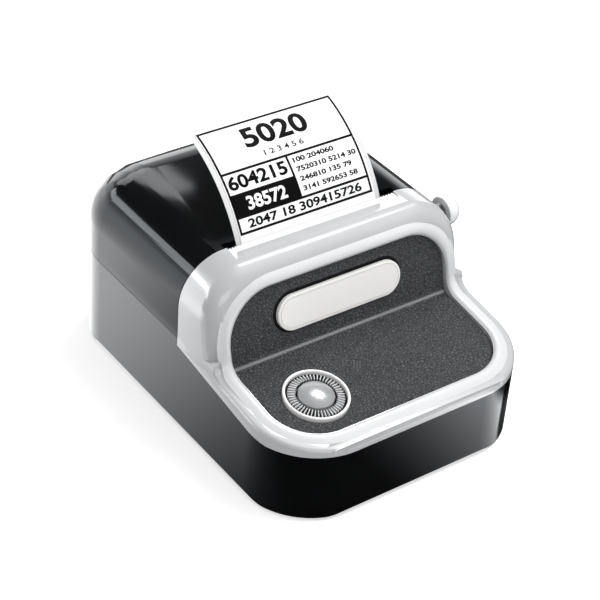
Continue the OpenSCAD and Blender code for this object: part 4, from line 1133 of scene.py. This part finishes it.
class PRINTER_OT_stage(bpy.types.Operator):
    """Adds the floor, the lights and the camera"""

    bl_idname = "printer.stage"
    bl_label = "Floor, lights and camera"

    def execute(self, context):
        look = context.scene.printer_look
        deselect()
        bpy.ops.mesh.primitive_plane_add(size=6, location=(0, 0, 0))
        floor = bpy.context.object
        floor.name = "floor"
        floor.data.materials.append(self.floor_paint(look))
        world = bpy.data.worlds.new("studio")
        context.scene.world = world
        world.use_nodes = True
        tree = world.node_tree
        tree.nodes.clear()
        ray = add_node(tree, "ShaderNodeLightPath").outputs["Is Glossy Ray"]
        # Gloss shows a dark room that brightens towards the horizon behind the printer.
        way = add_node(tree, "ShaderNodeTexCoord").outputs["Generated"]
        split = axes(tree, way)
        low = ramp(tree, split["Z"], 0.52, 0.12, 0.0, look.horizon)
        behind = ramp(tree, split["Y"], 0.35, 0.75, 0.0, 1.0)
        glow = calculate(tree, "MULTIPLY_ADD", low, behind, look.room_in_gloss)
        strength = add_node(
            tree, "ShaderNodeMix", links={"Factor": ray, "A": look.room_light, "B": glow}
        ).outputs["Result"]
        sky = add_node(tree, "ShaderNodeBackground", links={"Color": WHITE, "Strength": strength})
        out = add_node(tree, "ShaderNodeOutputWorld")
        tree.links.new(sky.outputs[0], out.inputs["Surface"])
        # Shielded from gloss, so that no highlight of it breaks the brow.
        key = self.light("key", (0.4, -0.15, 0.85), (0.5, 0.5), look.key_power)
        key.visible_glossy = False
        self.light("button_patch", (0.4, 0.25, 0.75), (0.2, 0.14), look.patch_power)
        strip = self.light("left_strip", (-0.62, 0.62, 0.5), (0.9, 0.16), look.strip_power)
        strip.visible_diffuse = False
        self.light("front_fill", (-0.25, -0.8, 0.5), (0.5, 0.3), look.fill_power)
        # A small card close above and behind the cover, out of the picture, that only its gloss shows.
        card = self.light("cover_card", (-0.006, 0.198, 0.157), (0.108, 0.105), look.card_power)
        card.rotation_euler = (0, 0, 0)
        card.visible_camera = card.visible_diffuse = False
        self.camera(context)
        context.scene.view_settings.view_transform = "Standard"
        return {"FINISHED"}

    def floor_paint(self, look):
        """Pale board; in gloss it fades from black in front to a bright pool behind."""
        made, tree, principled, place = new_material("pale_floor", Roughness=0.9, Specular_IOR_Level=0.0)
        principled.inputs["Base Color"].default_value = look.floor
        split = axes(tree, place)
        behind = ramp(tree, split["Y"], -0.08, 0.12, 0.02, look.pool)
        # The far left, which only the cover and the cheeks mirror, is dimmer towards the front.
        far_left = ramp(tree, split["X"], -0.0925, -0.0905, -1.0, 0.0)
        dimmed = ramp(tree, split["Y"], 0.03, 0.13, 0.5, 0.0)
        left = calculate(tree, "MULTIPLY_ADD", far_left, dimmed, 1.0)
        behind = calculate(tree, "MULTIPLY", behind, left)
        # Towards the right it grows with the square of the distance.
        across = ramp(tree, split["X"], -0.012, 0.065, 0.0, 1.0, "LINEAR")
        right = calculate(tree, "MULTIPLY", calculate(tree, "POWER", across, 2.0), look.side_pool)
        # Painted shade darkens the outermost edges on the right, as flags would.
        right = calculate(tree, "MULTIPLY", right, ramp(tree, split["Y"], -0.0795, -0.0765, 1.0, 0.02))
        painted_edge_shade = ramp(tree, split["X"], 0.064, 0.076, 1.0, 0.05)
        pool = calculate(tree, "MULTIPLY", calculate(tree, "ADD", behind, right), painted_edge_shade)
        ray = add_node(tree, "ShaderNodeLightPath").outputs
        seen = spread(tree, ray["Is Camera Ray"], 0.0, look.floor_lift)
        strength = add_node(
            tree, "ShaderNodeMix", links={"Factor": ray["Is Glossy Ray"], "A": seen, "B": pool}
        ).outputs["Result"]
        glow = add_node(tree, "ShaderNodeEmission", links={"Color": WHITE, "Strength": strength})
        paint = add_node(
            tree, "ShaderNodeMixShader", links={0: ray["Is Glossy Ray"], 1: principled.outputs[0]}
        )
        both = add_node(tree, "ShaderNodeAddShader", links={0: paint.outputs[0], 1: glow.outputs[0]})
        out = next(n for n in tree.nodes if n.type == "OUTPUT_MATERIAL")
        tree.links.new(both.outputs[0], out.inputs["Surface"])
        return made

    def light(self, name, place, size, power):
        """An area light that faces the printer."""
        data = bpy.data.lights.new(name, "AREA")
        data.shape = "RECTANGLE"
        data.size, data.size_y = size
        data.energy = power
        made = bpy.data.objects.new(name, data)
        bpy.context.scene.collection.objects.link(made)
        made.location = place
        made.rotation_euler = (Vector((0, 0, 0.03)) - Vector(place)).to_track_quat("-Z", "Y").to_euler()
        return made

    def camera(self, context):
        """The camera, from its place and the ways to its right, top and back."""
        data = bpy.data.cameras.new("camera")
        data.lens = 111.283
        data.sensor_width = 36.0
        made = bpy.data.objects.new("camera", data)
        context.scene.collection.objects.link(made)
        place = (-0.36366281, -0.46234045, 0.46136095)
        right = (0.8119765, -0.57994447, 0.06601957)
        up = (0.29825067, 0.50946317, 0.80715167)
        back = (-0.50173769, -0.6356978, 0.58664094)
        made.matrix_world = Matrix.Translation(place) @ Matrix((right, up, back)).transposed().to_4x4()
        context.scene.camera = made


class PRINTER_PT_panel(bpy.types.Panel):
    """Lists the printer's pieces and settings"""

    bl_label = "Label printer"
    bl_idname = "PRINTER_PT_panel"
    bl_space_type = "VIEW_3D"
    bl_region_type = "UI"
    bl_category = "Printer"

    def draw(self, context):
        for settings in (context.scene.printer_sizes, context.scene.printer_look):
            for name in settings.__annotations__:
                self.layout.prop(settings, name)
        for step in STEPS:
            self.layout.operator(step.bl_idname)


STEPS = (
    PRINTER_OT_finishes,
    PRINTER_OT_panel,
    PRINTER_OT_rim,
    PRINTER_OT_plate,
    PRINTER_OT_button,
    PRINTER_OT_knob,
    PRINTER_OT_springs,
    PRINTER_OT_cover,
    PRINTER_OT_label,
    PRINTER_OT_stage,
)
CLASSES = (PrinterSizes, PrinterLook, *STEPS, PRINTER_PT_panel)


def register():
    for c in CLASSES:
        bpy.utils.register_class(c)
    bpy.types.Scene.printer_sizes = bpy.props.PointerProperty(type=PrinterSizes)
    bpy.types.Scene.printer_look = bpy.props.PointerProperty(type=PrinterLook)


def unregister():
    del bpy.types.Scene.printer_look
    del bpy.types.Scene.printer_sizes
    for c in reversed(CLASSES):
        bpy.utils.unregister_class(c)


def main():
    """Makes every piece and the stage."""
    register()
    for step in STEPS:
        group, name = step.bl_idname.split(".")
        getattr(getattr(bpy.ops, group), name)()


if __name__ == "__main__":
    main()
